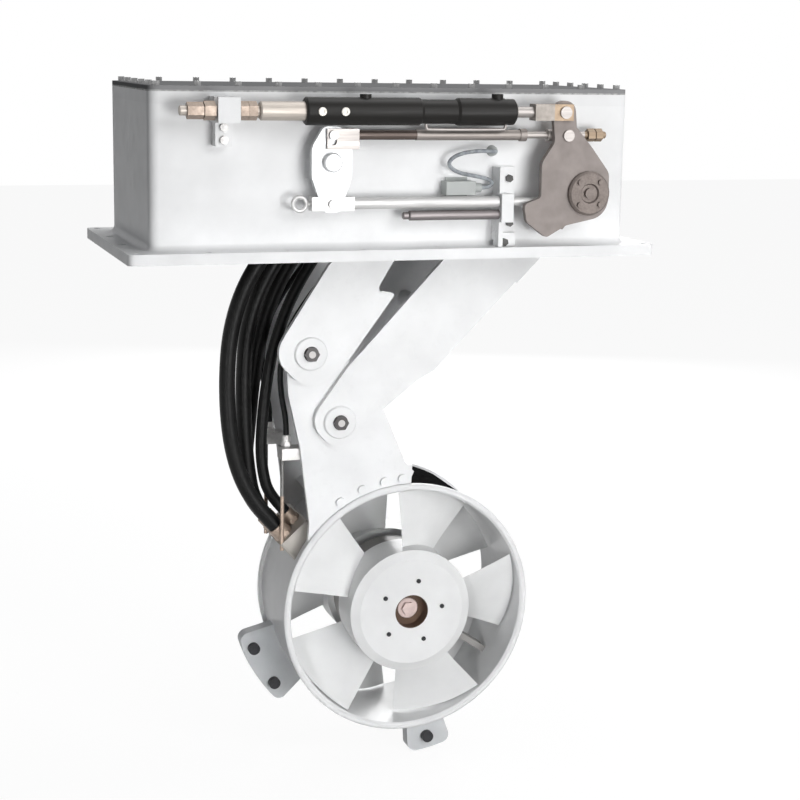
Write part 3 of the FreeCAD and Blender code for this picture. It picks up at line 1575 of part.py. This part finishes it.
build_housing()
build_lid()
build_shaft()
build_arms()
build_upper_link()
build_pivot("lower_pivot", dims.lower_pivot_x, dims.lower_pivot_z)
build_pivot("upper_pivot", upper_pivot_x, upper_pivot_z)
build_platform()
build_tunnel()
build_propellers()
build_crank()
build_cylinder()
build_anchor()
build_spring_link()
build_lever()
build_plunger()
build_lock_bracket()
build_sensor()
build_hoses()
doc.recompute()

for item in doc.Objects:
    if "Invalid" in item.State or "Error" in item.State:
        raise RuntimeError(f"{item.Name} did not compute: {item.State}")
os.makedirs("parts", exist_ok=True)
for item in nodes:
    shape = item.Shape
    if shape.isNull() or not shape.isValid():
        raise RuntimeError(f"{item.Label} has no valid shape")
    shape.exportStep(f"parts/{item.Label}.step")
print(len(nodes), "sub-parts")
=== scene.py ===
"""A hydraulic swing-down bow thruster, dressed and lit. Metres, in the frame of the CAD part."""

import json
import math

import bmesh
import bpy
from mathutils import Matrix, Vector


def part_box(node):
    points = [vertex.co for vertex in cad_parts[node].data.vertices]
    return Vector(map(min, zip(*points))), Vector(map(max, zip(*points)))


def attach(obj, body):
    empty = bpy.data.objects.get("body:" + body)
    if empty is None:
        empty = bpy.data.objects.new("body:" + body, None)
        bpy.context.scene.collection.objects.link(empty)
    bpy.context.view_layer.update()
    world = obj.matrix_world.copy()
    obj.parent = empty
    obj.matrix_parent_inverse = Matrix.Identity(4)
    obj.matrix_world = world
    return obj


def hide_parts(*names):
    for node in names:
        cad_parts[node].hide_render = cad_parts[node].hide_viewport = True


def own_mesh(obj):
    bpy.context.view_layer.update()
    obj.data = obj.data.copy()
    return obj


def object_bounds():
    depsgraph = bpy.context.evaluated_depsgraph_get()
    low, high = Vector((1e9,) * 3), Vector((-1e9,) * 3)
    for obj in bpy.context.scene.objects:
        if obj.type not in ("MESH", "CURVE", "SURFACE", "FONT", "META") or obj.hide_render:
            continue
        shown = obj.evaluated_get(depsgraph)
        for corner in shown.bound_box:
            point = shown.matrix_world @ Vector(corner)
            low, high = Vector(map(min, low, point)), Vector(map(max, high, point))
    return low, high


CAMERA_PLACE = (-0.8266, -2.6566, 0.3052)
CAMERA_YAW = 18.52
CAMERA_PITCH = -11.22
CAMERA_ROLL = 0.95
LENS = 79.58
SENSOR = 36.0

MM = 1000                         # millimetres in a metre; routes and fittings are in millimetres
WHITE = (1, 1, 1)
ALONG_X = (0.06, 1, 1)            # draws a metal's grain out along X
MIX_COLOUR_A = 6                  # the Mix node's sockets that carry colours
MIX_COLOUR_B = 7
MIX_COLOUR_RESULT = 2

# Places where a finish or a painted shade changes within one node, in metres.
# Painted shade: above this height the housing's rim, just under the lid, is a little darker.
RIM_SHADE_FROM_Z = 0.2238
# Out to this radius from the tunnel's axis the propellers are painted dark brown as shade in the
# bore.
HUB_BORE_SHADE_RADIUS = 0.0272
PIN_RECESS_RADIUS = 0.0055
PIN_HEAD_RADIUS = 0.0118
DARK_BOLTS_FROM_X = 0.0
THIN_ROD_FROM_X = -0.071
SLEEVE_END_FROM_X = 0.018
ROD_COLLAR_FROM_X = 0.285
FORK_EYE_FROM_X = 0.225
THIN_PIPES_FROM_Z = -0.385
EDGE_BLOCKS_FROM_Z = -0.3225

# Small fittings that have no joint of their own, in millimetres and degrees.
HUB_BOLTS = {"count": 5, "first": 78, "circle": 51, "head": (3.6, 2.4)}
BARREL_SCREWS = {"x": (-134, -100), "out": 19.6, "z": 217, "head": (6.2, 2.4)}
BARREL_PIPE = [(28, 199), (28, 191.5), (36, 191.5), (90, 191), (144, 191.5), (152, 191.5),
               (152, 199)]
BARREL_PIPE_RADIUS = 0.0024
# The black strip beside the saddle is painted shade: a dark sheet on the shell where the saddle's
# shade falls.
SHADE_BAND = {"first": 60, "last": 87.5, "steps": 24,
        "section": ((198, -80), (200.6, -79), (200.6, 79), (198, 80))}

WORLD_LIGHT = 0.14
FLOOR_HALF = 12
FLOOR_DROP = 0.002
FLOOR_BOUNCE = 0.2                # grey that lights the object from below
FLOOR_GLOW = 1.05                 # white that the camera sees
FLOOR_GLOW_SHARE = 0.88           # the rest takes the shadow
LAMPS = (   # name, place, target, size, watts, spread in degrees
    ("key", (1.5, -3.1, 1.5), (0, 0, -0.25), (1.6, 1.6), 42, 180),
    ("front_fill", (0.75, -3.6, -0.4), (0, 0, -0.5), (1.5, 1.4), 80, 180),
    ("back_fill", (1.3, 3.4, 0.5), (0, 0, -0.3), (1.8, 1.8), 62, 180),
    ("low_left", (-1.6, -2.5, -0.75), (0, 0, -0.62), (0.7, 0.5), 1.3, 34),
    ("top", (0.9, 0.1, 2.6), (0, 0, -0.25), (1.8, 1.8), 26, 180),
)

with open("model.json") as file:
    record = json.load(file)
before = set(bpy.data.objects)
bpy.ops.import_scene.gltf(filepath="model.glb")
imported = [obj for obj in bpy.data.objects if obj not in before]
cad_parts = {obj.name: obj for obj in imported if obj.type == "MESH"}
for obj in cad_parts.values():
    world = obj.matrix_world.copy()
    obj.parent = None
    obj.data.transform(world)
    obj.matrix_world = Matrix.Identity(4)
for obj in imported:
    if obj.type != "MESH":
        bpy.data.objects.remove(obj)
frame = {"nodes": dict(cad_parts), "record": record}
nodes = frame["nodes"]
loaded_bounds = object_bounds()


# ---------------------------------------------------------------- materials

def node_tree(name):
    material = bpy.data.materials.new(name)
    material.use_nodes = True
    tree = material.node_tree
    return material, tree, tree.nodes["Principled BSDF"]


def noise(tree, scale, detail=3.0, stretch=(1, 1, 1)):
    """Noise on the piece's own coordinates, in periods a metre."""
    place = tree.nodes.new("ShaderNodeTexCoord")
    mapping = tree.nodes.new("ShaderNodeMapping")
    mapping.inputs["Scale"].default_value = stretch
    texture = tree.nodes.new("ShaderNodeTexNoise")
    texture.inputs["Scale"].default_value = scale
    texture.inputs["Detail"].default_value = detail
    tree.links.new(place.outputs["Object"], mapping.inputs["Vector"])
    tree.links.new(mapping.outputs["Vector"], texture.inputs["Vector"])
    return texture.outputs["Fac"]


def ramp(tree, value, stops):
    """Colours or greys along a value; stops are (position, colour)."""
    item = tree.nodes.new("ShaderNodeValToRGB")
    elements = item.color_ramp.elements
    while len(elements) < len(stops):
        elements.new(0.5)
    for element, (position, colour) in zip(elements, stops):
        element.position = position
        element.color = (*colour, 1) if len(colour) == 3 else colour
    tree.links.new(value, item.inputs["Fac"])
    return item.outputs["Color"]


def bump(tree, shader, value, distance, strength=0.3):
    item = tree.nodes.new("ShaderNodeBump")
    item.inputs["Distance"].default_value = distance
    item.inputs["Strength"].default_value = strength
    tree.links.new(value, item.inputs["Height"])
    tree.links.new(item.outputs["Normal"], shader.inputs["Normal"])


def set_specular(material, level):
    shader = material.node_tree.nodes["Principled BSDF"]
    shader.inputs["Specular IOR Level"].default_value = level


def shade(colour, factor):
    return tuple(min(1.0, part * factor) for part in colour)


def paint(name, colour, roughness=0.3, variation=0.05, coat=0.06):
    """Sprayed paint: faint clouds of colour, uneven gloss and orange peel."""
    material, tree, shader = node_tree(name)
    clouds = noise(tree, scale=14, detail=4)
    stops = [(0.3, shade(colour, 1 - variation)), (0.7, shade(colour, 1 + variation))]
    tree.links.new(ramp(tree, clouds, stops), shader.inputs["Base Color"])
    gloss = [(0.3, (roughness - 0.05,) * 3), (0.7, (roughness + 0.07,) * 3)]
    tree.links.new(ramp(tree, noise(tree, scale=60), gloss), shader.inputs["Roughness"])
    shader.inputs["Specular IOR Level"].default_value = 0.16
    shader.inputs["Coat Weight"].default_value = coat
    shader.inputs["Coat Roughness"].default_value = 0.12
    bump(tree, shader, noise(tree, scale=420, detail=2), distance=0.0004, strength=0.16)
    return material


def metal(name, colour, roughness=0.32, metallic=1.0, stretch=(1, 1, 1), grain=300,
          variation=0.16):
    """Turned or ground metal: fine grain along the stretch and uneven polish."""
    material, tree, shader = node_tree(name)
    streaks = noise(tree, grain, detail=5, stretch=stretch)
    stops = [(0.3, shade(colour, 1 - variation)), (0.72, shade(colour, 1 + variation))]
    tree.links.new(ramp(tree, streaks, stops), shader.inputs["Base Color"])
    gloss = [(0.3, (roughness - 0.08,) * 3), (0.7, (roughness + 0.12,) * 3)]
    polish = noise(tree, scale=90, detail=4, stretch=stretch)
    tree.links.new(ramp(tree, polish, gloss), shader.inputs["Roughness"])
    shader.inputs["Metallic"].default_value = metallic
    shader.inputs["Specular IOR Level"].default_value = 0.2 if metallic < 0.4 else 0.5
    bump(tree, shader, streaks, distance=0.0002, strength=0.25)
    return material


def from_axis(tree, x, z):
    """Distance in metres from an axis along Y."""
    place = tree.nodes.new("ShaderNodeTexCoord")
    flat = tree.nodes.new("ShaderNodeVectorMath")
    flat.operation = "MULTIPLY"
    flat.inputs[1].default_value = (1, 0, 1)
    distance = tree.nodes.new("ShaderNodeVectorMath")
    distance.operation = "DISTANCE"
    distance.inputs[1].default_value = (x, 0, z)
    tree.links.new(place.outputs["Object"], flat.inputs[0])
    tree.links.new(flat.outputs[0], distance.inputs[0])
    return distance.outputs["Value"]


def along_axis(tree, axis):
    """One of the piece's own coordinates, in metres."""
    place = tree.nodes.new("ShaderNodeTexCoord")
    split = tree.nodes.new("ShaderNodeSeparateXYZ")
    tree.links.new(place.outputs["Object"], split.inputs[0])
    return split.outputs[axis]


def zones(material, value, low, high, stops):
    """Tint a finish by zones of a value between low and high; stops are (value, tint)."""
    tree = material.node_tree
    shader = tree.nodes["Principled BSDF"]
    scale = tree.nodes.new("ShaderNodeMapRange")
    scale.inputs["From Min"].default_value = low
    scale.inputs["From Max"].default_value = high
    tree.links.new(value, scale.inputs["Value"])
    item = tree.nodes.new("ShaderNodeValToRGB")
    item.color_ramp.interpolation = "CONSTANT"
    elements = item.color_ramp.elements
    while len(elements) < len(stops):
        elements.new(0.5)
    for element, (position, colour) in zip(elements, stops):
        element.position = (position - low) / (high - low)
        element.color = (*colour, 1)
    tree.links.new(scale.outputs["Result"], item.inputs["Fac"])
    before = shader.inputs["Base Color"].links[0].from_socket
    mix = tree.nodes.new("ShaderNodeMix")
    mix.data_type = "RGBA"
    mix.blend_type = "MULTIPLY"
    mix.inputs["Factor"].default_value = 1.0
    tree.links.new(before, mix.inputs[MIX_COLOUR_A])
    tree.links.new(item.outputs["Color"], mix.inputs[MIX_COLOUR_B])
    tree.links.new(mix.outputs[MIX_COLOUR_RESULT], shader.inputs["Base Color"])
    return material


def rubber(name, colour, roughness=0.42, wrap=900):
    """Rubber with the fine weave of a wrapped cover."""
    material, tree, shader = node_tree(name)
    stops = [(0.35, shade(colour, 0.8)), (0.7, shade(colour, 1.5))]
    tree.links.new(ramp(tree, noise(tree, scale=120, detail=4), stops), shader.inputs["Base Color"])
    gloss = [(0.3, (roughness - 0.08,) * 3), (0.7, (roughness + 0.1,) * 3)]
    tree.links.new(ramp(tree, noise(tree, scale=200), gloss), shader.inputs["Roughness"])
    shader.inputs["Specular IOR Level"].default_value = 0.14
    bump(tree, shader, noise(tree, wrap, detail=2), distance=0.0003, strength=0.3)
    return material


MATERIALS = {
    "white_paint": paint("white_paint", (0.84, 0.845, 0.85)),
    "arm_paint": paint("arm_paint", (0.83, 0.835, 0.84)),
    "tunnel_paint": paint("tunnel_paint", (0.78, 0.785, 0.79), 0.34),
    "propeller_metal": paint("propeller_metal", (0.72, 0.73, 0.73), 0.36),
    "crank_metal": metal("crank_metal", (0.30, 0.265, 0.25), 0.6, 0.15, grain=40,
                         variation=0.1),
    "dark_steel": metal("dark_steel", (0.22, 0.20, 0.20), 0.45, 0.7, ALONG_X),
    "steel": metal("steel", (0.36, 0.335, 0.32), 0.42, 0.6, ALONG_X),
    "fasteners": metal("fasteners", (0.34, 0.34, 0.34), 0.42, 0.7),
    "silver_lever": metal("silver_lever", (0.72, 0.73, 0.74), 0.4, 0.35, grain=60,
                          variation=0.1),
    "black_anodised": metal("black_anodised", (0.010, 0.009, 0.008), 0.42, 0.0, ALONG_X),
    "bronze": metal("bronze", (0.30, 0.235, 0.19), 0.42, 0.5, grain=120),
    "motor_grey": paint("motor_grey", (0.30, 0.29, 0.28), 0.45, 0.1, 0.1),
    "lug_grey": paint("lug_grey", (0.64, 0.655, 0.67), 0.42, 0.12, 0.1),
    "black_bolts": metal("black_bolts", (0.025, 0.025, 0.028), 0.42, 0.5),
    "rubber": rubber("rubber", (0.03, 0.03, 0.03), 0.6),
    "hose_rubber": rubber("hose_rubber", (0.006, 0.006, 0.006), 0.4),
    "sensor_plastic": paint("sensor_plastic", (0.50, 0.52, 0.51), 0.5, 0.1, 0.0),
    "cable_grey": rubber("cable_grey", (0.30, 0.32, 0.34), 0.5),
}


def centre_of(node):
    low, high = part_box(node)
    return tuple((a + b) / 2 for a, b in zip(low, high))


def pin_finish(node):
    """White washer, dark bolt head and a bright centre round a pin's own axis."""
    x, _, z = centre_of(node)
    material = paint(f"{node}_finish", (0.83, 0.835, 0.84))
    stops = [(0, (0.75, 0.72, 0.7)), (PIN_RECESS_RADIUS, (0.10, 0.09, 0.09)),
             (PIN_HEAD_RADIUS, WHITE)]
    return zones(material, from_axis(material.node_tree, x, z), 0, 0.03, stops)


def zoned_along(material, axis, low, high, stops):
    return zones(material, along_axis(material.node_tree, axis), low, high, stops)


def blade_paint_with_bore_shade(node):
    """Cast blades and hub, with painted shade that darkens the bore brown."""
    x, _, z = centre_of("tunnel")
    material = paint(f"{node}_finish", (0.74, 0.745, 0.745), 0.36)
    # Painted shade: dark brown inside the bore.
    stops = [(0, (0.16, 0.1, 0.07)), (HUB_BORE_SHADE_RADIUS, WHITE)]
    return zones(material, from_axis(material.node_tree, x, z), 0, 0.2, stops)


def finishes_by_node():
    """Finishes of nodes whose colour differs from their slot's or changes over their shape; some
    zones are painted shade.
    """
    found = {
        "housing": paint("housing_finish", (0.9, 0.905, 0.91), 0.4, coat=0.0),
        "housing_lid": paint("lid_finish", (0.30, 0.30, 0.305), coat=0.0),
        "lid_gasket": rubber("gasket_finish", (0.42, 0.42, 0.42), 0.6),
        "platform_bolts": MATERIALS["arm_paint"],
        "propeller_shaft": metal("shaft_end", (0.5, 0.4, 0.38), 0.45, 0.5, grain=80),
        "bracket_bolts": metal("bracket_bolts_finish", (0.55, 0.54, 0.53), 0.42, 0.3),
        "anchor_nuts": metal("anchor_nuts_finish", (0.34, 0.27, 0.22), 0.42, 0.4),
        "cylinder_rear_cap": metal("rear_cap_finish", (0.52, 0.47, 0.42), 0.42, 0.4, ALONG_X),
        "link_sleeve": metal("sleeve_finish", (0.36, 0.335, 0.32), 0.42, 0.5, ALONG_X),
        "link_rod": metal("link_rod_finish", (0.42, 0.39, 0.37), 0.42, 0.5, ALONG_X),
        "rod_fork": metal("rod_fork_finish", (0.34, 0.25, 0.17), 0.42, 0.4, grain=120),
        "main_shaft": metal("turned_steel", (0.36, 0.335, 0.32), 0.4, 0.6, grain=140),
        "lock_plunger": metal("plunger_finish", (0.66, 0.655, 0.65), 0.4, 0.3, ALONG_X),
        "hose_fittings_tunnel": metal("tunnel_fittings_finish", (0.55, 0.54, 0.53), 0.4, 0.5,
                                      grain=120),
        "tunnel_port_block": paint("port_block_finish", (0.46, 0.435, 0.40), 0.4, 0.1),
        "crank_hub_cap": metal("hub_cap_finish", (0.20, 0.17, 0.155), 0.5, 0.3),
    }
    found["link_shaft"] = found["main_shaft"]
    for node in ("propeller_front", "propeller_rear"):
        found[node] = blade_paint_with_bore_shade(node)
    for node in ("lower_pivot_pin", "upper_pivot_pin"):
        found[node] = pin_finish(node)
    set_specular(found["housing"], 0.06)
    set_specular(found["housing_lid"], 0)
    # Painted shade on the housing's top rim, just under the lid.
    zoned_along(found["housing"], "Z", 0, 0.25, [(0, WHITE), (RIM_SHADE_FROM_Z, (0.97,) * 3)])
    zoned_along(found["bracket_bolts"], "X", -0.3, 0.2,
                [(-0.3, WHITE), (DARK_BOLTS_FROM_X, (0.12,) * 3)])
    zoned_along(found["link_sleeve"], "X", -0.15, 0.2,
                [(-0.15, WHITE), (THIN_ROD_FROM_X, (0.25, 0.2, 0.18)),
                 (SLEEVE_END_FROM_X, (0.75, 0.72, 0.7))])
    zoned_along(found["link_rod"], "X", 0, 0.4,
                [(0, WHITE), (ROD_COLLAR_FROM_X, (0.62, 0.5, 0.36))])
    zoned_along(found["rod_fork"], "X", 0.1, 0.3,
                [(0.1, (0.8, 0.98, 1.3)), (FORK_EYE_FROM_X, WHITE)])
    zoned_along(found["hose_fittings_tunnel"], "Z", -0.5, -0.2,
                [(-0.5, (0.7, 0.56, 0.46)), (THIN_PIPES_FROM_Z, (0.3,) * 3),
                 (EDGE_BLOCKS_FROM_Z, WHITE)])
    return found


def dress_nodes():
    own = finishes_by_node()
    for entry in frame["record"]["subparts"]:
        item = nodes[entry["node"]]
        item.data.materials.clear()
        item.data.materials.append(own.get(entry["node"], MATERIALS[entry["material_slot"]]))


# ---------------------------------------------------------------- pieces

def finish_piece(piece, body, slot, material=None):
    piece.data.materials.clear()
    piece.data.materials.append(material or MATERIALS[slot])
    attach(piece, body)
    return piece


def from_bmesh(name, mesh):
    data = bpy.data.meshes.new(name)
    mesh.to_mesh(data)
    mesh.free()
    piece = bpy.data.objects.new(name, data)
    bpy.context.collection.objects.link(piece)
    return piece


def smooth(piece):
    for face in piece.data.polygons:
        face.use_smooth = True


def lathe(mesh, place, axis, profile, sides=24, turn=0.0):
    """Turn a profile of (height, radius) in millimetres about an axis through a place."""
    axis = Vector(axis).normalized()
    first = axis.orthogonal().normalized()
    second = axis.cross(first)
    rings = []
    for height, radius in profile:
        middle = Vector(place) + axis * height
        ring = []
        for step in range(sides if radius else 1):
            angle = turn + 2 * math.pi * step / sides
            spot = middle + (first * math.cos(angle) + second * math.sin(angle)) * radius
            ring.append(mesh.verts.new(spot / MM))
        rings.append(ring)
    for ring, above in zip(rings, rings[1:]):
        for step in range(sides):
            corners = [ring[step % len(ring)], ring[(step + 1) % len(ring)],
                       above[(step + 1) % len(above)], above[step % len(above)]]
            mesh.faces.new(list(dict.fromkeys(corners)))
    if len(rings[0]) > 1:
        mesh.faces.new(list(reversed(rings[0])))


def cap_screw(mesh, place, axis, radius, height):
    """The head of a socket screw, sunk a little, with a chamfer and a recess."""
    sunk = 0.2
    chamfer = 0.6
    recess = radius * 0.5
    floor = height * 0.35
    lathe(mesh, place, axis, [
        (-sunk, radius), (height - chamfer, radius), (height, radius - chamfer),
        (height, recess), (floor, recess), (floor, 0),
    ])


def make_hub_bolts():
    """Small bolts round the hub of each propeller's outer face."""
    x, _, z = (MM * part for part in centre_of("tunnel"))
    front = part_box("propeller_front")[0][1] * MM
    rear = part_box("propeller_rear")[1][1] * MM
    circle = HUB_BOLTS["circle"]
    mesh = bmesh.new()
    for face, side in ((front, -1), (rear, 1)):
        for step in range(HUB_BOLTS["count"]):
            angle = math.radians(HUB_BOLTS["first"] + 360 / HUB_BOLTS["count"] * step)
            place = (x + circle * math.cos(angle), face, z + circle * math.sin(angle))
            cap_screw(mesh, place, (0, side, 0), *HUB_BOLTS["head"])
    finish_piece(from_bmesh("hub_bolts", mesh), "propeller", "black_bolts")


def make_barrel_fittings():
    """Two pale screws on the black tube and the thin pipe that runs below it."""
    low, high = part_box("cylinder_tube")
    middle_y = (low[1] + high[1]) / 2 * MM
    mesh = bmesh.new()
    for x in BARREL_SCREWS["x"]:
        place = (x, middle_y - BARREL_SCREWS["out"], BARREL_SCREWS["z"])
        cap_screw(mesh, place, (0, -1, 0), *BARREL_SCREWS["head"])
    cream = metal("cream_screw", (0.72, 0.69, 0.64), 0.4, 0.2)
    finish_piece(from_bmesh("barrel_screws", mesh), "cylinder", "fasteners", cream)
    route = [(x, middle_y, z) for x, z in BARREL_PIPE]
    pipe = smooth_line("barrel_pipe", route, BARREL_PIPE_RADIUS)
    finish_piece(pipe, "cylinder", "steel")


def make_tunnel_shade_band():
    """A black strip on the shell beside the saddle, laid there as painted shade: a dark sheet where
    the saddle's shade falls.
    """
    x, _, z = (MM * part for part in centre_of("tunnel"))
    mesh = bmesh.new()
    rings = []
    for step in range(SHADE_BAND["steps"] + 1):
        turn = (SHADE_BAND["last"] - SHADE_BAND["first"]) * step / SHADE_BAND["steps"]
        angle = math.radians(SHADE_BAND["first"] + turn)
        rings.append([
            mesh.verts.new(Vector((x + radius * math.cos(angle), y,
                                   z + radius * math.sin(angle))) / MM)
            for radius, y in SHADE_BAND["section"]
        ])
    for ring, after in zip(rings, rings[1:]):
        for side in range(4):
            mesh.faces.new([ring[side], ring[(side + 1) % 4], after[(side + 1) % 4], after[side]])
    mesh.faces.new(list(reversed(rings[0])))
    mesh.faces.new(rings[-1])
    black_shade = rubber("tunnel_shade_band_finish", (0.02, 0.02, 0.02), 0.6)
    # No specular on the strip, so the painted shade shows no highlight.
    set_specular(black_shade, 0)
    finish_piece(from_bmesh("tunnel_shade_band", mesh), "platform", "rubber", black_shade)


# ---------------------------------------------------------------- hoses and cable

# Each hose's radius in metres and its route in millimetres.
HOSES = {
    "hose_pressure": (0.0125, [
        (195.8, -34, 96.1), (170, -34, 120), (120, -34, 137), (62, -34, 139), (2, -33, 125),
        (-66, -31, 90), (-136, -30, 34), (-192, -29, -34), (-222, -29, -112),
        (-230, -30, -200), (-226, -32, -285), (-211, -33, -350), (-184, -34, -401),
        (-152.7, -34, -435.7),
    ]),
    "hose_supply": (0.0125, [
        (195.8, 0, 96.1), (172, 0, 119), (120, 1, 136), (62, 3, 139), (4, 5, 120),
        (-54, 7, 80), (-110, 9, 22), (-158, 10, -44), (-187, 9, -118), (-195, 6, -200),
        (-194, 3, -285), (-190, 2, -345), (-179.7, 0, -405.7), (-152.7, 0, -435.7),
    ]),
    "hose_return": (0.0125, [
        (195.8, 34, 96.1), (173, 34, 118), (122, 34, 129), (64, 35, 128), (6, 36, 108),
        (-46, 37, 64), (-92, 38, 4), (-132, 38, -60), (-158, 37, -130), (-172, 35, -205),
        (-180, 34, -285), (-186, 34, -345), (-183.5, 34, -401.5), (-152.7, 34, -435.7),
    ]),
    "hose_feed": (0.009, [
        (179, -16, 78.9), (158, -16, 99), (112, -16, 107), (58, -17, 104), (6, -19, 86),
        (-40, -20, 48), (-86, -20, -10), (-126, -18, -78), (-153, -15, -156),
        (-166, -14, -236), (-172, -15, -310), (-168, -16, -356), (-158, -17, -389.5),
        (-132.7, -17, -417.6),
    ]),
    "hose_drain_front": (0.0045, [
        (179, -58, 78.9), (158, -58, 99), (108, -58, 102), (58, -58, 92), (14, -58, 70),
        (-26, -58, 34), (-66, -58, -20), (-108, -57, -72), (-140, -55, -122),
        (-151, -53, -180), (-148, -52, -226), (-140, -52, -262), (-140, -52, -286),
    ]),
    "hose_drain_rear": (0.0045, [
        (179, 58, 78.9), (158, 58, 99), (110, 58, 105), (60, 58, 95), (14, 58, 74),
        (-30, 58, 38), (-70, 57, -16), (-111, 56, -68), (-143, 54, -120),
        (-154, 53, -180), (-150, 52, -226), (-140, 52, -262), (-140, 52, -286),
    ]),
}
SENSOR_CABLE_RADIUS = 0.003
SENSOR_CABLE = [
    (148, -174.3, 158), (147, -190, 158), (118, -190, 160), (84, -186, 155), (69, -181, 140),
    (88, -179, 126), (122, -178, 121), (146, -176, 114), (142, -172, 104), (127.3, -172, 104),
]


def smooth_line(name, points, radius=0.0):
    """A NURBS curve through a route's listed points, given in millimetres."""
    curve = bpy.data.curves.new(name, "CURVE")
    curve.dimensions = "3D"
    spline = curve.splines.new("NURBS")
    spline.points.add(len(points) - 1)
    for point, place in zip(spline.points, points):
        point.co = (*(part / MM for part in place), 1)
    spline.order_u = 3
    spline.use_endpoint_u = True
    spline.resolution_u = 8
    curve.bevel_depth = radius
    curve.bevel_resolution = 5
    curve.use_fill_caps = True
    item = bpy.data.objects.new(name, curve)
    bpy.context.collection.objects.link(item)
    return item


def mesh_of(line):
    """The mesh that a curve evaluates to; the curve itself is removed."""
    bpy.context.view_layer.update()
    depsgraph = bpy.context.evaluated_depsgraph_get()
    mesh = bpy.data.meshes.new_from_object(line.evaluated_get(depsgraph))
    bpy.data.objects.remove(line)
    return mesh


def flexible(name, points, radius):
    """A round hose or cable as a mesh tube, and the line that it follows."""
    path = [tuple(vertex.co) for vertex in mesh_of(smooth_line(f"{name}_line", points)).vertices]
    mesh = mesh_of(smooth_line(f"{name}_tube", points, radius))
    piece = bpy.data.objects.new(f"{name}_skin", mesh)
    bpy.context.collection.objects.link(piece)
    smooth(piece)
    return piece, path


def fold_with_arm(piece):
    """Ride a hose on the arm, on its own copy of the mesh."""
    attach(piece, "swing")
    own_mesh(piece)


def make_hoses():
    for name, (radius, points) in HOSES.items():
        piece, path = flexible(name, points, radius)
        piece.data.materials.clear()
        piece.data.materials.append(MATERIALS["hose_rubber"])
        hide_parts(name)
        fold_with_arm(piece)
    piece, path = flexible("sensor_cable", SENSOR_CABLE, SENSOR_CABLE_RADIUS)
    finish_piece(piece, "root", "cable_grey")
    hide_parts("sensor_cable")


# ---------------------------------------------------------------- stage

def camera_basis():
    yaw = math.radians(CAMERA_YAW)
    pitch = math.radians(CAMERA_PITCH)
    roll = math.radians(CAMERA_ROLL)
    ahead = Vector((math.sin(yaw) * math.cos(pitch), math.cos(yaw) * math.cos(pitch),
                    math.sin(pitch)))
    level = Vector((math.cos(yaw), -math.sin(yaw), 0))
    upward = level.cross(ahead)
    right = level * math.cos(roll) + upward * math.sin(roll)
    up = upward * math.cos(roll) - level * math.sin(roll)
    return right, up, -ahead


def make_camera():
    data = bpy.data.cameras.new("camera")
    data.lens = LENS
    data.sensor_width = SENSOR
    camera = bpy.data.objects.new("camera", data)
    basis = Matrix([list(axis) for axis in camera_basis()]).transposed().to_4x4()
    camera.matrix_world = Matrix.Translation(CAMERA_PLACE) @ basis
    bpy.context.collection.objects.link(camera)
    bpy.context.scene.camera = camera


def add_lamp(name, place, target, size, power, spread):
    data = bpy.data.lights.new(name, "AREA")
    data.spread = math.radians(spread)
    data.shape = "RECTANGLE"
    data.size, data.size_y = size
    data.energy = power
    lamp = bpy.data.objects.new(name, data)
    lamp.location = place
    lamp.rotation_euler = (Vector(target) - Vector(place)).to_track_quat("-Z", "Y").to_euler()
    bpy.context.collection.objects.link(lamp)


def seen_directly(tree):
    """1 for camera, glossy and transmitted rays, and 0 for the light that falls on things."""
    path = tree.nodes.new("ShaderNodeLightPath")
    total = path.outputs["Is Camera Ray"]
    for name in ("Is Glossy Ray", "Is Transmission Ray"):
        add = tree.nodes.new("ShaderNodeMath")
        add.operation = "ADD"
        add.use_clamp = True
        tree.links.new(total, add.inputs[0])
        tree.links.new(path.outputs[name], add.inputs[1])
        total = add.outputs[0]
    return total


def mix_shaders(tree, factor, first, second):
    mix = tree.nodes.new("ShaderNodeMixShader")
    if isinstance(factor, float):
        mix.inputs["Fac"].default_value = factor
    else:
        tree.links.new(factor, mix.inputs["Fac"])
    tree.links.new(first, mix.inputs[1])
    tree.links.new(second, mix.inputs[2])
    return mix.outputs[0]


def make_world():
    world = bpy.data.worlds.new("studio")
    world.use_nodes = True
    tree = world.node_tree
    soft = tree.nodes["Background"]
    soft.inputs["Color"].default_value = (0.95, 0.97, 1, 1)
    soft.inputs["Strength"].default_value = WORLD_LIGHT
    white = tree.nodes.new("ShaderNodeBackground")
    white.inputs["Color"].default_value = (1, 1, 1, 1)
    shown = mix_shaders(tree, seen_directly(tree), soft.outputs[0], white.outputs[0])
    tree.links.new(shown, tree.nodes["World Output"].inputs["Surface"])
    bpy.context.scene.world = world


def make_floor():
    """A pale floor that looks white and still takes the object's shadow."""
    material, tree, shader = node_tree("floor")
    shader.inputs["Roughness"].default_value = 0.9
    shader.inputs["Base Color"].default_value = (*(FLOOR_BOUNCE,) * 3, 1)
    white = tree.nodes.new("ShaderNodeEmission")
    white.inputs["Strength"].default_value = FLOOR_GLOW
    lit = tree.nodes.new("ShaderNodeBsdfDiffuse")
    lit.inputs["Color"].default_value = (0.95, 0.95, 0.95, 1)
    pale = mix_shaders(tree, FLOOR_GLOW_SHARE, lit.outputs[0], white.outputs[0])
    shown = mix_shaders(tree, seen_directly(tree), shader.outputs[0], pale)
    tree.links.new(shown, tree.nodes["Material Output"].inputs["Surface"])
    mesh = bmesh.new()
    bmesh.ops.create_grid(mesh, x_segments=1, y_segments=1, size=FLOOR_HALF)
    floor = from_bmesh("floor", mesh)
    floor.location.z = loaded_bounds[0][2] - FLOOR_DROP
    floor.data.materials.append(material)


dress_nodes()
make_hoses()
make_hub_bolts()
make_barrel_fittings()
make_tunnel_shade_band()
make_camera()
make_world()
make_floor()
for lamp in LAMPS:
    add_lamp(*lamp)

scene = bpy.context.scene
scene.view_settings.view_transform = "Standard"
